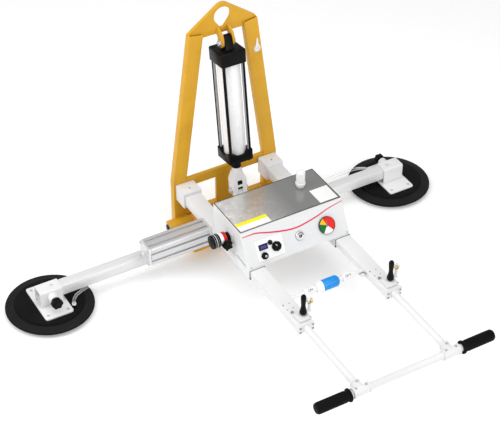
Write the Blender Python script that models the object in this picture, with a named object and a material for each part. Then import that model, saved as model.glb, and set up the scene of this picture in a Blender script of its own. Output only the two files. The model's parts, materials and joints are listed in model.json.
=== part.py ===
"""Vacuum glass lifter: suction frame on two telescopic arms, hung from a tilting A-frame bail.

Metres, +Z up.  X runs along the suction arms, the handle end points to -Y.
The model is laid out about the machine's mid-plane (x = 0), the arms' axis (y = 0)
and the floor (z = 0); one empty then moves it all to the middle of its footprint.
"""
import math

import bmesh
import bpy
from mathutils import Matrix, Vector

# Clearances
GAP = 0.0003
RUN = 0.0003

# Suction pads
PAD_R = 0.150
PAD_X_LEFT = -0.770
PAD_X_RIGHT = 0.590
SEAL_R = 0.136
SEAL_FLAT = 0.118
SEAL_IN = 0.106
SEAL_TOP = 0.0132
DISC_T = 0.0155
DISC_STEP_R = 0.112
PLATE_X = 0.100
PLATE_Y = 0.176
PLATE_T = 0.006
BRACKET_X = 0.080
BRACKET_WALL = 0.006
BRACKET_TOP_T = 0.003
BOSS_R = 0.0155
BOSS_L = 0.026
CLAMP_R = 0.0205
CLAMP_L = 0.020
CLAMP_STEM_R = 0.0045
BARB_X = 0.061
BARB_Y = 0.064
BARB_H = 0.009

# Telescopic arms
ARM_SIZE = 0.040
ARM_WALL = 0.003
ARM_LENGTH = 0.610
ARM_BOTTOM = 0.0525
ARM_OVERHANG = 0.040
SLEEVE_WALL = 0.0047
SLEEVE_HALF = 0.330
HOSE_R = 0.005
HOSE_RUN = 0.466
HOSE_Y = 0.0365

# Beams, from the bail to the handle
BEAM_X = 0.1657
BEAM_BOTTOM = 0.132
BEAM_W = 0.060
BEAM_H = 0.038
BEAM_WALL = 0.0022
BEAM_REAR = 0.110
BEAM_FRONT = -0.340
FORE_W = 0.055
FORE_H = 0.028
FORE_WALL = 0.003
FORE_INSERT = 0.060
FORE_END = -0.642
STOP_W = 0.070
STOP_Z0 = 0.120
STOP_Z1 = 0.183

# Handle
FLANGE_W = 0.062
FLANGE_H = 0.034
FLANGE_T = 0.008
HANDLE_TUBE_R = 0.0125
BAR_Y = -0.965
BAR_Z = 0.155
BAR_R = 0.012
TEE_R = 0.0165
TEE_HALF = 0.030
GRIP_R = 0.019
GRIP_L = 0.120
GRIP_END = 0.3257
GRIP_FLANGE_R = 0.0225

# Vacuum tank
TANK_SIZE = 0.072
TANK_Y = -0.049
TANK_LEFT = -0.4345
TANK_CAP = 0.030
TANK_RIM = 0.008
SLOT_W = 0.008
SLOT_D = 0.006
SLOT_PITCH = 0.030

# Control box
BOX_HALF = 0.195
BOX_TOP = 0.284
BOX_BACK = -0.092
BOX_TOP_FRONT = -0.277
BOX_FOOT_FRONT = -0.339
BOX_SHEET = 0.0025
PANEL_X0 = -0.153
PANEL_X1 = -0.053
PANEL_S0 = 0.044
PANEL_S1 = 0.113
PANEL_T = 0.002
DISPLAY_X = -0.128
DISPLAY_S = 0.068
BUTTON_X = -0.1005
BUTTON_S = 0.061
BUTTON_R = 0.0060
BUTTON_TRAVEL = 0.002
BIG_KNOB_X = -0.081
BIG_KNOB_S = 0.0805
BIG_KNOB_R = 0.0172
SMALL_KNOB_X = -0.130
SMALL_KNOB_S = 0.098
SMALL_KNOB_R = 0.0125
KEY_X = 0.012
KEY_S = 0.076
KEY_R = 0.0155
GAUGE_X = 0.117
GAUGE_S = 0.0735
GAUGE_R = 0.0318
SILENCER_X = 0.108
SILENCER_Y = -0.1565
SILENCER_R = 0.0153
SILENCER_H = 0.066

# Pressure regulator on the box's left side
REG_Y = -0.205
REG_Z = 0.222
REG_SIZE = 0.040
REG_BODY = 0.044
REG_RING_R = 0.024
REG_RING_L = 0.021

# Slide valve between the beams, and the two hand valves
SLIDE_Y = -0.508
SLIDE_Z = 0.158
SLIDE_R = 0.007
SLIDE_GRIP_R = 0.0195
SLIDE_GRIP_X0 = -0.022
SLIDE_GRIP_X1 = 0.041
SLIDE_COLLAR_R = 0.0145
SLIDE_COLLAR_L = 0.022
SLIDE_TRAVEL = 0.015
SLIDE_STOP_R = 0.0122
SLIDE_STOP_L = 0.045
SLIDE_BALL_R = 0.0095
SLIDE_BALL_X = 0.126
SLIDE_BALL_REACH = 0.017
VALVE_Y = -0.611
VALVE_OFFSET = 0.007
VALVE_W = 0.045
VALVE_L = 0.048
VALVE_H = 0.0077
ELBOW_OFFSET = 0.040
ELBOW_Z = 0.216
LEVER_OFFSET = 0.011
LEVER_H = 0.083
LEVER_BALL_R = 0.0122

# Tilt hinge at the bail's feet
HINGE_Y = 0.152
HINGE_Z = 0.0225
PIN_R = 0.012
PIN_HALF = 0.248
KNUCKLE_OUT = 0.244
KNUCKLE_IN = 0.100
TILT_PLATE_T = 0.0097
TILT_PLATE_X = 0.2395
TILT_PLATE_FRONT = -0.030
TILT_PLATE_BACK = 0.104

# Bail
LEG_FRONT = 0.173
LEG_DEPTH = 0.026
LEG_WIDTH = 0.050
LEG_WALL = 0.003
LEG_OUT = 0.207
LEG_KNEE = 0.190
LEG_TOP_OUT = 0.128
LEG_TOP_DOWN = 0.0875
LEG_TOP_DROP = 0.008
FOOT_BAR_H = 0.045
CROSS_Z0 = 0.158
CROSS_Z1 = 0.193
CROSS_T = 0.013
POST_HALF = 0.036
EYE_APEX = 0.857
EYE_FRONT = 0.182
EYE_T = 0.012
EYE_R = 0.032
EYE_DOWN = 0.048
EYE_FOOT_DOWN = 0.112
EAR_X = 0.016
EAR_T = 0.008

# Tilt cylinder
TOP_PIN_Y = 0.1566
TOP_PIN_DOWN = 0.135
TOP_PIN_R = 0.007
CYL_TILT = math.radians(7.41)
LUG_Z = 0.1548
CAP_SIZE = 0.090
CAP_CHAMFER = 0.004
CAP_TOP = -0.022
CAP_H = 0.050
HEAD_SIZE = 0.088
HEAD_H = 0.039
HEAD_DIP = 0.012
HEAD_REACH = 0.127
BARREL_R = 0.0385
BARREL_WALL = 0.005
TIE_R = 0.005
TIE_AT = 0.0355
ROD_R = 0.010
PISTON_L = 0.020
FORK_REACH = 0.0705
FORK_TOE = 0.025
FORK_SLOT_REACH = 0.039
FORK_W = 0.054
FORK_D = 0.038
LUG_T = 0.016
LUG_TIP_R = 0.012

# Levels that follow from the sizes above
PLATE_Z0 = SEAL_TOP + GAP + DISC_T + GAP
PLATE_Z1 = PLATE_Z0 + PLATE_T
ARM_TOP = ARM_BOTTOM + ARM_SIZE
ARM_MID = ARM_BOTTOM + ARM_SIZE / 2
SLEEVE_OUT = ARM_SIZE / 2 + RUN + SLEEVE_WALL
SLEEVE_BOTTOM = ARM_MID - SLEEVE_OUT
SLEEVE_TOP = ARM_MID + SLEEVE_OUT
BEAM_TOP = BEAM_BOTTOM + BEAM_H
FORE_TOP = BEAM_TOP - BEAM_WALL - GAP
FORE_BOTTOM = FORE_TOP - FORE_H
TANK_Z = SLEEVE_TOP + GAP + TANK_SIZE / 2
TANK_RIGHT = -BEAM_X - BEAM_W / 2 - GAP
BOX_BOTTOM = BEAM_TOP + GAP
KNUCKLE_R = LEG_FRONT - HINGE_Y - GAP
TILT_PLATE_TOP = SLEEVE_BOTTOM - GAP
LEG_IN = LEG_OUT - LEG_WIDTH
LEG_TOP_IN = LEG_TOP_OUT - LEG_WIDTH
LEG_TOP_Z = EYE_APEX - LEG_TOP_DOWN
LEG_LEAN_OUT = (LEG_OUT - LEG_TOP_OUT) / (LEG_TOP_Z - LEG_KNEE)
LEG_LEAN_IN = (LEG_IN - LEG_TOP_IN) / (LEG_TOP_Z - LEG_TOP_DROP - LEG_KNEE)
EYE_Z = EYE_APEX - EYE_DOWN
EYE_FOOT = EYE_APEX - EYE_FOOT_DOWN
TOP_PIN_Z = EYE_APEX - TOP_PIN_DOWN
FORK_PIN = -(TOP_PIN_Z - LUG_Z) / math.cos(CYL_TILT)
FORK_TOP = FORK_PIN + FORK_REACH
FORK_END = FORK_PIN - FORK_TOE
CAP_LOW = FORK_PIN + HEAD_REACH
FORK_SLOT = LUG_T / 2 + 0.0006

bpy.context.preferences.edit.use_global_undo = False
for old in list(bpy.data.objects):
    bpy.data.objects.remove(old, do_unlink=True)


def material(name, colour, roughness, metallic):
    mat = bpy.data.materials.new(name)
    mat.use_nodes = True
    shader = mat.node_tree.nodes["Principled BSDF"]
    shader.inputs["Base Color"].default_value = (*colour, 1.0)
    shader.inputs["Roughness"].default_value = roughness
    shader.inputs["Metallic"].default_value = metallic
    mat.diffuse_color = (*colour, 1.0)
    return mat


YELLOW = material("yellow_paint", (0.86, 0.52, 0.04), 0.35, 0.0)
SILVER = material("silver_paint", (0.72, 0.73, 0.75), 0.35, 0.3)
ALUMINIUM = material("aluminium", (0.78, 0.79, 0.80), 0.3, 0.9)
STEEL = material("brushed_steel", (0.62, 0.62, 0.62), 0.25, 1.0)
CHROME = material("chrome", (0.85, 0.85, 0.86), 0.08, 1.0)
BLACK = material("black_plastic", (0.02, 0.02, 0.022), 0.4, 0.0)
RUBBER = material("black_rubber", (0.025, 0.025, 0.027), 0.7, 0.0)
BLUE = material("blue_plastic", (0.05, 0.35, 0.75), 0.3, 0.0)
WHITE = material("white_plastic", (0.85, 0.85, 0.84), 0.4, 0.0)
CLEAR = material("clear_hose", (0.75, 0.78, 0.80), 0.3, 0.0)
RED = material("red_plastic", (0.7, 0.03, 0.03), 0.35, 0.0)


def empty(name, at, parent=None, turn=None):
    node = bpy.data.objects.new(name, None)
    bpy.context.scene.collection.objects.link(node)
    node.location = at
    if turn is not None:
        node.rotation_euler = turn
    node.parent = parent
    return node


# Middle of the footprint: between the pads' outer rims, and from the bail's back to the handle's front
SHIFT_X = -(PAD_X_LEFT + PAD_X_RIGHT) / 2
SHIFT_Y = -(LEG_FRONT + LEG_DEPTH + BAR_Y - GRIP_FLANGE_R) / 2
ROOT = empty("lifter", (SHIFT_X, SHIFT_Y, 0.0))


def finish(name, bm, mat, at=(0, 0, 0), turn=None, parent=None, bevel=0.0, segments=1, smooth=True):
    """Closes a bmesh as one named object."""
    bmesh.ops.recalc_face_normals(bm, faces=bm.faces)
    if bm.calc_volume(signed=True) < 0:
        bmesh.ops.reverse_faces(bm, faces=bm.faces)
    mesh = bpy.data.meshes.new(name)
    bm.to_mesh(mesh)
    bm.free()
    obj = bpy.data.objects.new(name, mesh)
    bpy.context.scene.collection.objects.link(obj)
    mesh.materials.append(mat)
    obj.location = at
    if turn is not None:
        obj.rotation_euler = turn
    obj.parent = parent or ROOT
    if smooth:
        mesh.shade_smooth()
        mesh.set_sharp_from_angle(angle=math.radians(35))
    if bevel:
        mod = obj.modifiers.new("edges", "BEVEL")
        mod.width = bevel
        mod.segments = segments
        mod.limit_method = "ANGLE"
        mod.angle_limit = math.radians(40)
    return obj


def cutter(obj):
    obj.hide_render = True
    obj.display_type = "WIRE"
    return obj


def combine(obj, tool, operation="DIFFERENCE"):
    cutter(tool)
    mod = obj.modifiers.new(operation.lower(), "BOOLEAN")
    mod.operation = operation
    mod.solver = "EXACT"
    mod.object = tool
    return obj


def box_mesh(x0, x1, y0, y1, z0, z1):
    bm = bmesh.new()
    bmesh.ops.create_cube(bm, size=1.0)
    for v in bm.verts:
        v.co.x = x0 if v.co.x < 0 else x1
        v.co.y = y0 if v.co.y < 0 else y1
        v.co.z = z0 if v.co.z < 0 else z1
    return bm


def outline_mesh(outline, holes, depth0, depth1, axis="Z"):
    """A flat outline with holes, drawn in the plane across the axis and extruded along it."""
    bm = bmesh.new()
    edges = []
    for loop in [outline] + list(holes):
        verts = [bm.verts.new((a, b, depth0)) for a, b in loop]
        edges += [bm.edges.new((verts[i], verts[(i + 1) % len(verts)])) for i in range(len(verts))]
    bmesh.ops.triangle_fill(bm, use_beauty=True, use_dissolve=False, edges=edges)
    grown = bmesh.ops.extrude_face_region(bm, geom=list(bm.faces))
    moved = [g for g in grown["geom"] if isinstance(g, bmesh.types.BMVert)]
    bmesh.ops.translate(bm, vec=(0, 0, depth1 - depth0), verts=moved)
    if axis == "X":
        bm.transform(Matrix(((0, 0, 1, 0), (1, 0, 0, 0), (0, 1, 0, 0), (0, 0, 0, 1))))
    if axis == "Y":
        bm.transform(Matrix(((1, 0, 0, 0), (0, 0, 1, 0), (0, 1, 0, 0), (0, 0, 0, 1))))
    return bm


def turned_mesh(profile, steps=32, axis="Z"):
    """A closed (radius, height) outline spun round the axis; points on the axis are merged."""
    bm = bmesh.new()
    verts = [bm.verts.new((r, 0.0, h)) for r, h in profile]
    edges = [bm.edges.new((verts[i], verts[(i + 1) % len(verts)])) for i in range(len(verts))
             if not (verts[i].co.x < 1e-9 and verts[(i + 1) % len(verts)].co.x < 1e-9)]
    bmesh.ops.spin(bm, geom=verts + edges, axis=(0, 0, 1), cent=(0, 0, 0), angle=2 * math.pi,
                   steps=steps, use_merge=True)
    bmesh.ops.remove_doubles(bm, verts=bm.verts, dist=1e-6)
    if axis == "X":
        bm.transform(Matrix.Rotation(math.pi / 2, 4, "Y"))
    if axis == "Y":
        bm.transform(Matrix.Rotation(-math.pi / 2, 4, "X"))
    return bm


def rod_mesh(radius, h0, h1, steps=24, axis="Z", chamfer=0.0):
    c = chamfer
    if c:
        profile = [(0, h0), (radius - c, h0), (radius, h0 + c), (radius, h1 - c), (radius - c, h1), (0, h1)]
    else:
        profile = [(0, h0), (radius, h0), (radius, h1), (0, h1)]
    return turned_mesh(profile, steps, axis)


def circle(radius, count, cx=0.0, cy=0.0, start=0.0, end=2 * math.pi):
    full = abs(end - start) > 2 * math.pi - 1e-6
    span = count if full else count - 1
    return [(cx + radius * math.cos(start + (end - start) * i / span),
             cy + radius * math.sin(start + (end - start) * i / span)) for i in range(count)]


def rectangle(x0, x1, y0, y1, r=0.0, n=4):
    if not r:
        return [(x0, y0), (x1, y0), (x1, y1), (x0, y1)]
    points = []
    for cx, cy, a in ((x1 - r, y1 - r, 0), (x0 + r, y1 - r, 1), (x0 + r, y0 + r, 2), (x1 - r, y0 + r, 3)):
        points += circle(r, n, cx, cy, a * math.pi / 2, (a + 1) * math.pi / 2)
    return points


def lobes(radius, depth, count, steps):
    """A scalloped knob outline."""
    points = []
    for i in range(steps):
        a = 2 * math.pi * i / steps
        points.append(((radius - depth * (0.5 - 0.5 * math.cos(count * a))) * math.cos(a),
                       (radius - depth * (0.5 - 0.5 * math.cos(count * a))) * math.sin(a)))
    return points


def square_tube(name, mat, x0, x1, cy, cz, wy, wz, wall, axis, r=0.003):
    """A rectangular tube along X or Y with rounded corners; cy and cz are its section's centre."""
    outer = rectangle(-wy / 2, wy / 2, -wz / 2, wz / 2, r, 4)
    inner = rectangle(-wy / 2 + wall, wy / 2 - wall, -wz / 2 + wall, wz / 2 - wall)
    bm = outline_mesh(outer, [inner], 0.0, x1 - x0, axis)
    at = (x0, cy, cz) if axis == "X" else (cy, x0, cz)
    return finish(name, bm, mat, at)


# Suction pads: lip seal, backing disc, bracket over the arm, clamp screw and hose
def suction_pad(side, px, turn):
    hub = empty("pad_" + side + "_centre", (px, 0.0, 0.0), ROOT, (0, 0, turn))
    lip = [(SEAL_R, 0.0), (SEAL_FLAT, 0.0), (SEAL_IN, SEAL_TOP - 0.005), (SEAL_IN, SEAL_TOP),
           (SEAL_R - 0.006, SEAL_TOP)]
    finish("seal_" + side, turned_mesh(lip, 40), RUBBER, parent=hub)

    z0 = SEAL_TOP + GAP
    z1 = z0 + DISC_T
    disc = finish("disc_" + side, turned_mesh([
        (0, z0), (PAD_R, z0), (PAD_R, z1 - 0.0028), (PAD_R - 0.0013, z1 - 0.0015), (DISC_STEP_R + 0.002, z1 - 0.0015),
        (DISC_STEP_R, z1), (0, z1)], 40), RUBBER, parent=hub)
    barb = finish("barb_" + side, turned_mesh([
        (0, -0.002), (0.0095, -0.002), (0.0095, 0.005), (0.006, 0.007), (0.006, BARB_H),
        (0, BARB_H)], 12), RUBBER, (BARB_X, -BARB_Y, z1), parent=hub)
    combine(disc, barb, "UNION")

    wall0 = ARM_SIZE / 2 + RUN
    wall1 = wall0 + BRACKET_WALL
    top0 = ARM_TOP + RUN
    top1 = top0 + BRACKET_TOP_T
    foot = PLATE_Z0 + PLATE_T / 2
    saddle = [(-wall1, foot), (-wall0, foot), (-wall0, top0), (wall0, top0), (wall0, foot),
              (wall1, foot), (wall1, top1 - 0.004), (wall1 - 0.004, top1), (-wall1 + 0.004, top1),
              (-wall1, top1 - 0.004)]
    plate = outline_mesh(rectangle(-PLATE_X / 2, PLATE_X / 2, -PLATE_Y / 2, PLATE_Y / 2, 0.008),
                         [], PLATE_Z0, PLATE_Z1)
    bracket = finish("bracket_" + side, plate, SILVER, parent=hub)
    combine(bracket, finish("saddle_" + side, outline_mesh(saddle, [], -BRACKET_X / 2, BRACKET_X / 2, "X"),
                            SILVER, parent=hub), "UNION")
    boss = finish("boss_" + side, rod_mesh(BOSS_R, wall1 - 0.003, wall1 + BOSS_L, 20, "Y"), SILVER,
                  (0, 0, ARM_MID), (0, 0, math.pi), parent=hub)
    combine(bracket, boss, "UNION")
    bore = finish("clamp_bore_" + side, rod_mesh(CLAMP_STEM_R + RUN, wall0 - 0.004, wall1 + BOSS_L + 0.01, 16, "Y"),
                  SILVER, (0, 0, ARM_MID), (0, 0, math.pi), parent=hub)
    combine(bracket, bore)
    combine(bracket, finish("top_hole_" + side, rod_mesh(0.006, top0 - 0.002, top1 + 0.004, 20), SILVER,
                            (0.012, 0, 0), parent=hub))

    stem0 = ARM_SIZE / 2 + GAP
    knob0 = wall1 + BOSS_L + 0.006
    knob = finish("clamp_knob_" + side, outline_mesh(lobes(CLAMP_R, 0.004, 6, 24), [], knob0,
                  knob0 + CLAMP_L, "Y"), BLACK, (0, 0, ARM_MID), (0, 0, math.pi), hub, bevel=0.002)
    stem = finish("clamp_stem_" + side, rod_mesh(CLAMP_STEM_R, stem0, knob0 + 0.004, 16, "Y"), BLACK,
                  (0, 0, ARM_MID), (0, 0, math.pi), parent=hub)
    combine(knob, stem, "UNION")

    arm0 = -ARM_OVERHANG
    tube = outline_mesh(rectangle(-ARM_SIZE / 2, ARM_SIZE / 2, -ARM_SIZE / 2, ARM_SIZE / 2, 0.003),
                        [rectangle(-ARM_SIZE / 2 + ARM_WALL, ARM_SIZE / 2 - ARM_WALL,
                                   -ARM_SIZE / 2 + ARM_WALL, ARM_SIZE / 2 - ARM_WALL)],
                        arm0, arm0 + ARM_LENGTH, "X")
    finish("arm_" + side, tube, SILVER, (0, 0, ARM_MID), parent=hub)
    hose(side, hub, z1 + BARB_H + 2 * GAP)


def smooth_route(points, count):
    """Catmull-Rom curve through the route's points, read at even steps."""
    ends = [2 * points[0] - points[1]] + points + [2 * points[-1] - points[-2]]
    fine = []
    for i in range(1, len(ends) - 2):
        a, b, c, d = ends[i - 1], ends[i], ends[i + 1], ends[i + 2]
        for k in range(24):
            t = k / 24
            fine.append(0.5 * (2 * b + (c - a) * t + (2 * a - 5 * b + 4 * c - d) * t * t
                               + (3 * b - a - 3 * c + d) * t ** 3))
    fine.append(points[-1])
    lengths = [0.0]
    for i in range(1, len(fine)):
        lengths.append(lengths[-1] + (fine[i] - fine[i - 1]).length)
    route = []
    for k in range(count):
        want = lengths[-1] * k / (count - 1)
        i = max(j for j in range(len(fine) - 1) if lengths[j] <= want + 1e-12)
        t = (want - lengths[i]) / (lengths[i + 1] - lengths[i])
        route.append(fine[i].lerp(fine[i + 1], min(t, 1.0)))
    return route


def hose(side, hub, start):
    """Vacuum hose from the pad's barb, up over the arm's flank and along it to the machine's middle."""
    clear = SLEEVE_OUT + HOSE_R + 0.0015
    # Share of the run and height above the arm's lower face: low on the left arm, over the right arm's top edge
    levels = {"left": ((0.15, 0.0145), (0.24, 0.0080), (0.40, 0.0000), (0.56, -0.0075), (0.64, -0.0040),
                       (0.80, -0.0010), (0.93, 0.0080), (1.0, 0.0085)),
              "right": ((0.15, 0.0430), (0.24, 0.0430), (0.36, 0.0430), (0.50, 0.0350), (0.64, 0.0210),
                        (0.80, 0.0105), (0.93, 0.0085), (1.0, 0.0085))}[side]
    points = [Vector(p) for p in ((BARB_X, -BARB_Y, start), (BARB_X, -BARB_Y, start + 0.008),
                                  (BARB_X, -BARB_Y, start + 0.016), (BARB_X + 0.012, -BARB_Y + 0.009, start + 0.027))]
    points += [Vector((BARB_X + share * HOSE_RUN, -max(HOSE_Y, clear), ARM_BOTTOM + up)) for share, up in levels]
    curve = bpy.data.curves.new("hose_" + side, "CURVE")
    curve.dimensions = "3D"
    curve.bevel_depth = HOSE_R
    curve.bevel_resolution = 2
    curve.use_fill_caps = True
    spline = curve.splines.new("POLY")
    route = smooth_route(points, 26)
    spline.points.add(len(route) - 1)
    for point, co in zip(spline.points, route):
        point.co = (*co, 1.0)
    curve.materials.append(CLEAR)
    obj = bpy.data.objects.new("hose_" + side, curve)
    bpy.context.scene.collection.objects.link(obj)
    obj.parent = hub


suction_pad("left", PAD_X_LEFT, 0.0)
suction_pad("right", PAD_X_RIGHT, math.pi)


# Suction frame: arm sleeve with its two saddles, tilt plate with hinge knuckles, cylinder lug
def arm_sleeve():
    outer = rectangle(-SLEEVE_OUT, SLEEVE_OUT, -SLEEVE_OUT, SLEEVE_OUT, 0.004)
    hole = ARM_SIZE / 2 + RUN
    sleeve = finish("arm_sleeve", outline_mesh(outer, [rectangle(-hole, hole, -hole, hole)],
                    -SLEEVE_HALF, SLEEVE_HALF, "X"), SILVER, (0, 0, ARM_MID))
    half = SLEEVE_OUT - 0.002
    for sign in (-1, 1):
        saddle = finish("sleeve_saddle", box_mesh(-BEAM_W / 2 + 0.006, BEAM_W / 2 - 0.006, -half, half,
                        SLEEVE_TOP - 0.002, BEAM_BOTTOM - GAP), SILVER, (sign * BEAM_X, 0, 0))
        combine(sleeve, saddle, "UNION")


def tilt_plate():
    z0 = TILT_PLATE_TOP - TILT_PLATE_T
    plate = finish("tilt_plate", outline_mesh(rectangle(-TILT_PLATE_X, TILT_PLATE_X, TILT_PLATE_FRONT,
                   TILT_PLATE_BACK, 0.010), [], z0, TILT_PLATE_TOP), YELLOW)
    inner = KNUCKLE_IN
    outer = LEG_IN - RUN
    for sign in (-1, 1):
        x0, x1 = sorted((sign * inner, sign * outer))
        tongue = finish("hinge_tongue", box_mesh(x0 + 0.004, x1 - 0.004, TILT_PLATE_BACK - 0.012, HINGE_Y,
                        z0, TILT_PLATE_TOP - 0.002), YELLOW)
        combine(plate, tongue, "UNION")
        knuckle = finish("hinge_knuckle", rod_mesh(KNUCKLE_R, x0, x1, 24, "X"), YELLOW, (0, HINGE_Y, HINGE_Z))
        combine(plate, knuckle, "UNION")
    bore = finish("hinge_bore", rod_mesh(PIN_R + RUN, -PIN_HALF, PIN_HALF, 20, "X"), YELLOW,
                  (0, HINGE_Y, HINGE_Z))
    combine(plate, bore)


def fork_pin_centre():
    reach = -FORK_PIN
    return TOP_PIN_Y - reach * math.sin(CYL_TILT), TOP_PIN_Z - reach * math.cos(CYL_TILT)


def cylinder_lug():
    """Welded lug that stands behind the sleeve and ends between the fork's cheeks."""
    cy, cz = fork_pin_centre()
    foot = TILT_PLATE_TOP + GAP
    outline = [(SLEEVE_OUT + GAP, foot), (TILT_PLATE_BACK - 0.004, foot), (TILT_PLATE_BACK - 0.004, foot + 0.012)]
    outline += circle(LUG_TIP_R, 9, cy, cz, -0.1, math.pi - 0.1)
    outline += [(SLEEVE_OUT + GAP, foot + 0.040)]
    finish("cylinder_lug", outline_mesh(outline, [], -LUG_T / 2, LUG_T / 2, "X"), SILVER)


arm_sleeve()
tilt_plate()
cylinder_lug()
hinge_pin = finish("hinge_pin", turned_mesh([
    (0, -PIN_HALF), (PIN_R + 0.002, -PIN_HALF), (PIN_R + 0.002, -KNUCKLE_OUT - GAP), (PIN_R, -KNUCKLE_OUT - GAP),
    (PIN_R, KNUCKLE_OUT + GAP), (PIN_R + 0.002, KNUCKLE_OUT + GAP), (PIN_R + 0.002, PIN_HALF), (0, PIN_HALF)],
    20, "X"), BLACK, (0, HINGE_Y, HINGE_Z))


# Beams with their stop blocks and the forward beams that carry the handle
def beam(side, sign):
    cx = sign * BEAM_X
    square_tube("beam_" + side, SILVER, BEAM_FRONT, BEAM_REAR, cx, BEAM_BOTTOM + BEAM_H / 2, BEAM_W,
                BEAM_H, BEAM_WALL, "Y")
    square_tube("fore_beam_" + side, SILVER, FORE_END, BEAM_FRONT + FORE_INSERT, cx, FORE_BOTTOM + FORE_H / 2,
                FORE_W, FORE_H, FORE_WALL, "Y")
    y1 = LEG_FRONT - GAP
    y0 = BEAM_REAR + GAP
    block = finish("stop_block_" + side, box_mesh(-STOP_W / 2, STOP_W / 2, y0, y1, STOP_Z0, STOP_Z1), SILVER,
                   (cx, 0, 0), bevel=0.002)
    screw = finish("stop_screw_" + side, rod_mesh(0.005, STOP_Z1 - 0.003, STOP_Z1 + 0.002, 16), SILVER,
                   (cx, (y0 + y1) / 2 - 0.008, 0))
    combine(block, screw, "UNION")
    flange = finish("handle_tube_" + side, outline_mesh(
        rectangle(-FLANGE_W / 2, FLANGE_W / 2, -FLANGE_H / 2, FLANGE_H / 2, 0.004), [],
        FORE_END - FLANGE_T - GAP, FORE_END - GAP, "Y"), SILVER, (cx, 0, BAR_Z))
    tube = finish("handle_pipe_" + side, rod_mesh(HANDLE_TUBE_R, BAR_Y + TEE_R + 0.020 + GAP,
                  FORE_END - FLANGE_T / 2, 24, "Y"), SILVER, (cx, 0, BAR_Z))
    combine(flange, tube, "UNION")
    for sx in (-1, 1):
        for sz in (-1, 1):
            head = finish("flange_screw", rod_mesh(0.0042, FORE_END - FLANGE_T - 0.0035, FORE_END - FLANGE_T / 2, 12,
                          "Y"), BLACK, (cx + sx * 0.023, 0, BAR_Z + sz * 0.0085))
            combine(flange, head, "UNION")


beam("left", -1)
beam("right", 1)

# Handle bar with its two T joints, and the grips
bar = finish("handle_bar", rod_mesh(BAR_R, -GRIP_END + 0.006, GRIP_END - 0.006, 16, "X"), SILVER, (0, BAR_Y, BAR_Z))
for sign in (-1, 1):
    sleeve = finish("tee_sleeve", rod_mesh(TEE_R, -TEE_HALF, TEE_HALF, 16, "X"), SILVER,
                    (sign * BEAM_X, BAR_Y, BAR_Z))
    combine(bar, sleeve, "UNION")
    branch = finish("tee_branch", rod_mesh(TEE_R * 0.97, 0.0, TEE_R + 0.020, 12, "Y"), SILVER,
                    (sign * BEAM_X, BAR_Y, BAR_Z))
    combine(bar, branch, "UNION")
for side, sign in (("left", -1), ("right", 1)):
    inner = BAR_R + GAP
    start = GRIP_END - GRIP_L
    profile = [(inner, start), (GRIP_FLANGE_R, start), (GRIP_FLANGE_R, start + 0.006), (GRIP_R - 0.001, start + 0.008)]
    profile += [(GRIP_R, start + 0.020), (GRIP_R, GRIP_END - 0.006)]
    profile += [(GRIP_R - 0.003, GRIP_END), (0, GRIP_END), (0, GRIP_END - 0.006 + GAP), (inner, GRIP_END - 0.006 + GAP)]
    finish("grip_" + side, turned_mesh(profile, 20, "X"), RUBBER, (0, BAR_Y, BAR_Z),
           (0, 0, 0 if sign > 0 else math.pi))


# Vacuum tank: slotted aluminium extrusion between a thick end cap and a thin one
def slotted_square(size, width, depth, pitch):
    """Square section with two undercut slots in each face."""
    half = size / 2
    face = []
    for at in (-pitch / 2, pitch / 2):
        face += [(at - width / 2, -half), (at - width / 2, -half + 0.002), (at - width / 2 - 0.002, -half + 0.003),
                 (at - width / 2 - 0.002, -half + depth), (at + width / 2 + 0.002, -half + depth),
                 (at + width / 2 + 0.002, -half + 0.003), (at + width / 2, -half + 0.002), (at + width / 2, -half)]
    face = [(-half + 0.007, -half)] + face + circle(0.007, 5, half - 0.007, -half + 0.007, -math.pi / 2, 0.0)[:-1]
    points = []
    for k in range(4):
        c, s = round(math.cos(k * math.pi / 2)), round(math.sin(k * math.pi / 2))
        points += [(c * x - s * y, s * x + c * y) for x, y in face]
    return points


def scalloped_square(size, scallop, chamfer):
    """Square cap whose edges dip between the corner screws."""
    half = size / 2
    face = [(-half + chamfer, -half)]
    span = size - 2 * chamfer
    for i in range(1, 6):
        t = i / 6
        face.append((-half + chamfer + span * t, -half + scallop * math.sin(math.pi * t) ** 0.6))
    face.append((half - chamfer, -half))
    points = []
    for k in range(4):
        c, s = round(math.cos(k * math.pi / 2)), round(math.sin(k * math.pi / 2))
        points += [(c * x - s * y, s * x + c * y) for x, y in face]
    return points


cap_in = TANK_LEFT + TANK_CAP
rim_in = TANK_RIGHT - TANK_RIM
finish("tank_profile", outline_mesh(slotted_square(TANK_SIZE, SLOT_W, SLOT_D, SLOT_PITCH),
       [circle(0.024, 24)], cap_in + GAP, rim_in - GAP, "X"), ALUMINIUM, (0, TANK_Y, TANK_Z))
tank_cap = finish("tank_cap_left", outline_mesh(scalloped_square(TANK_SIZE, 0.0025, 0.006), [], TANK_LEFT, cap_in,
                  "X"), ALUMINIUM, (0, TANK_Y, TANK_Z))
for sy in (-1, 1):
    for sz in (-1, 1):
        combine(tank_cap, finish("cap_screw", rod_mesh(0.0045, -0.0025, 0.003, 12, "X"), STEEL,
                (TANK_LEFT, TANK_Y + sy * 0.0275, TANK_Z + sz * 0.0275)), "UNION")
finish("tank_cap_right", outline_mesh(rectangle(-TANK_SIZE / 2, TANK_SIZE / 2, -TANK_SIZE / 2, TANK_SIZE / 2, 0.006),
       [], rim_in, TANK_RIGHT, "X"), BLACK, (0, TANK_Y, TANK_Z))

# Control box with a sloped front
box = finish("control_box", outline_mesh([(BOX_BACK, BOX_BOTTOM), (BOX_BACK, BOX_TOP), (BOX_TOP_FRONT, BOX_TOP),
             (BOX_FOOT_FRONT, BOX_BOTTOM)], [], -BOX_HALF, BOX_HALF, "X"), STEEL, bevel=0.0025)
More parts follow.
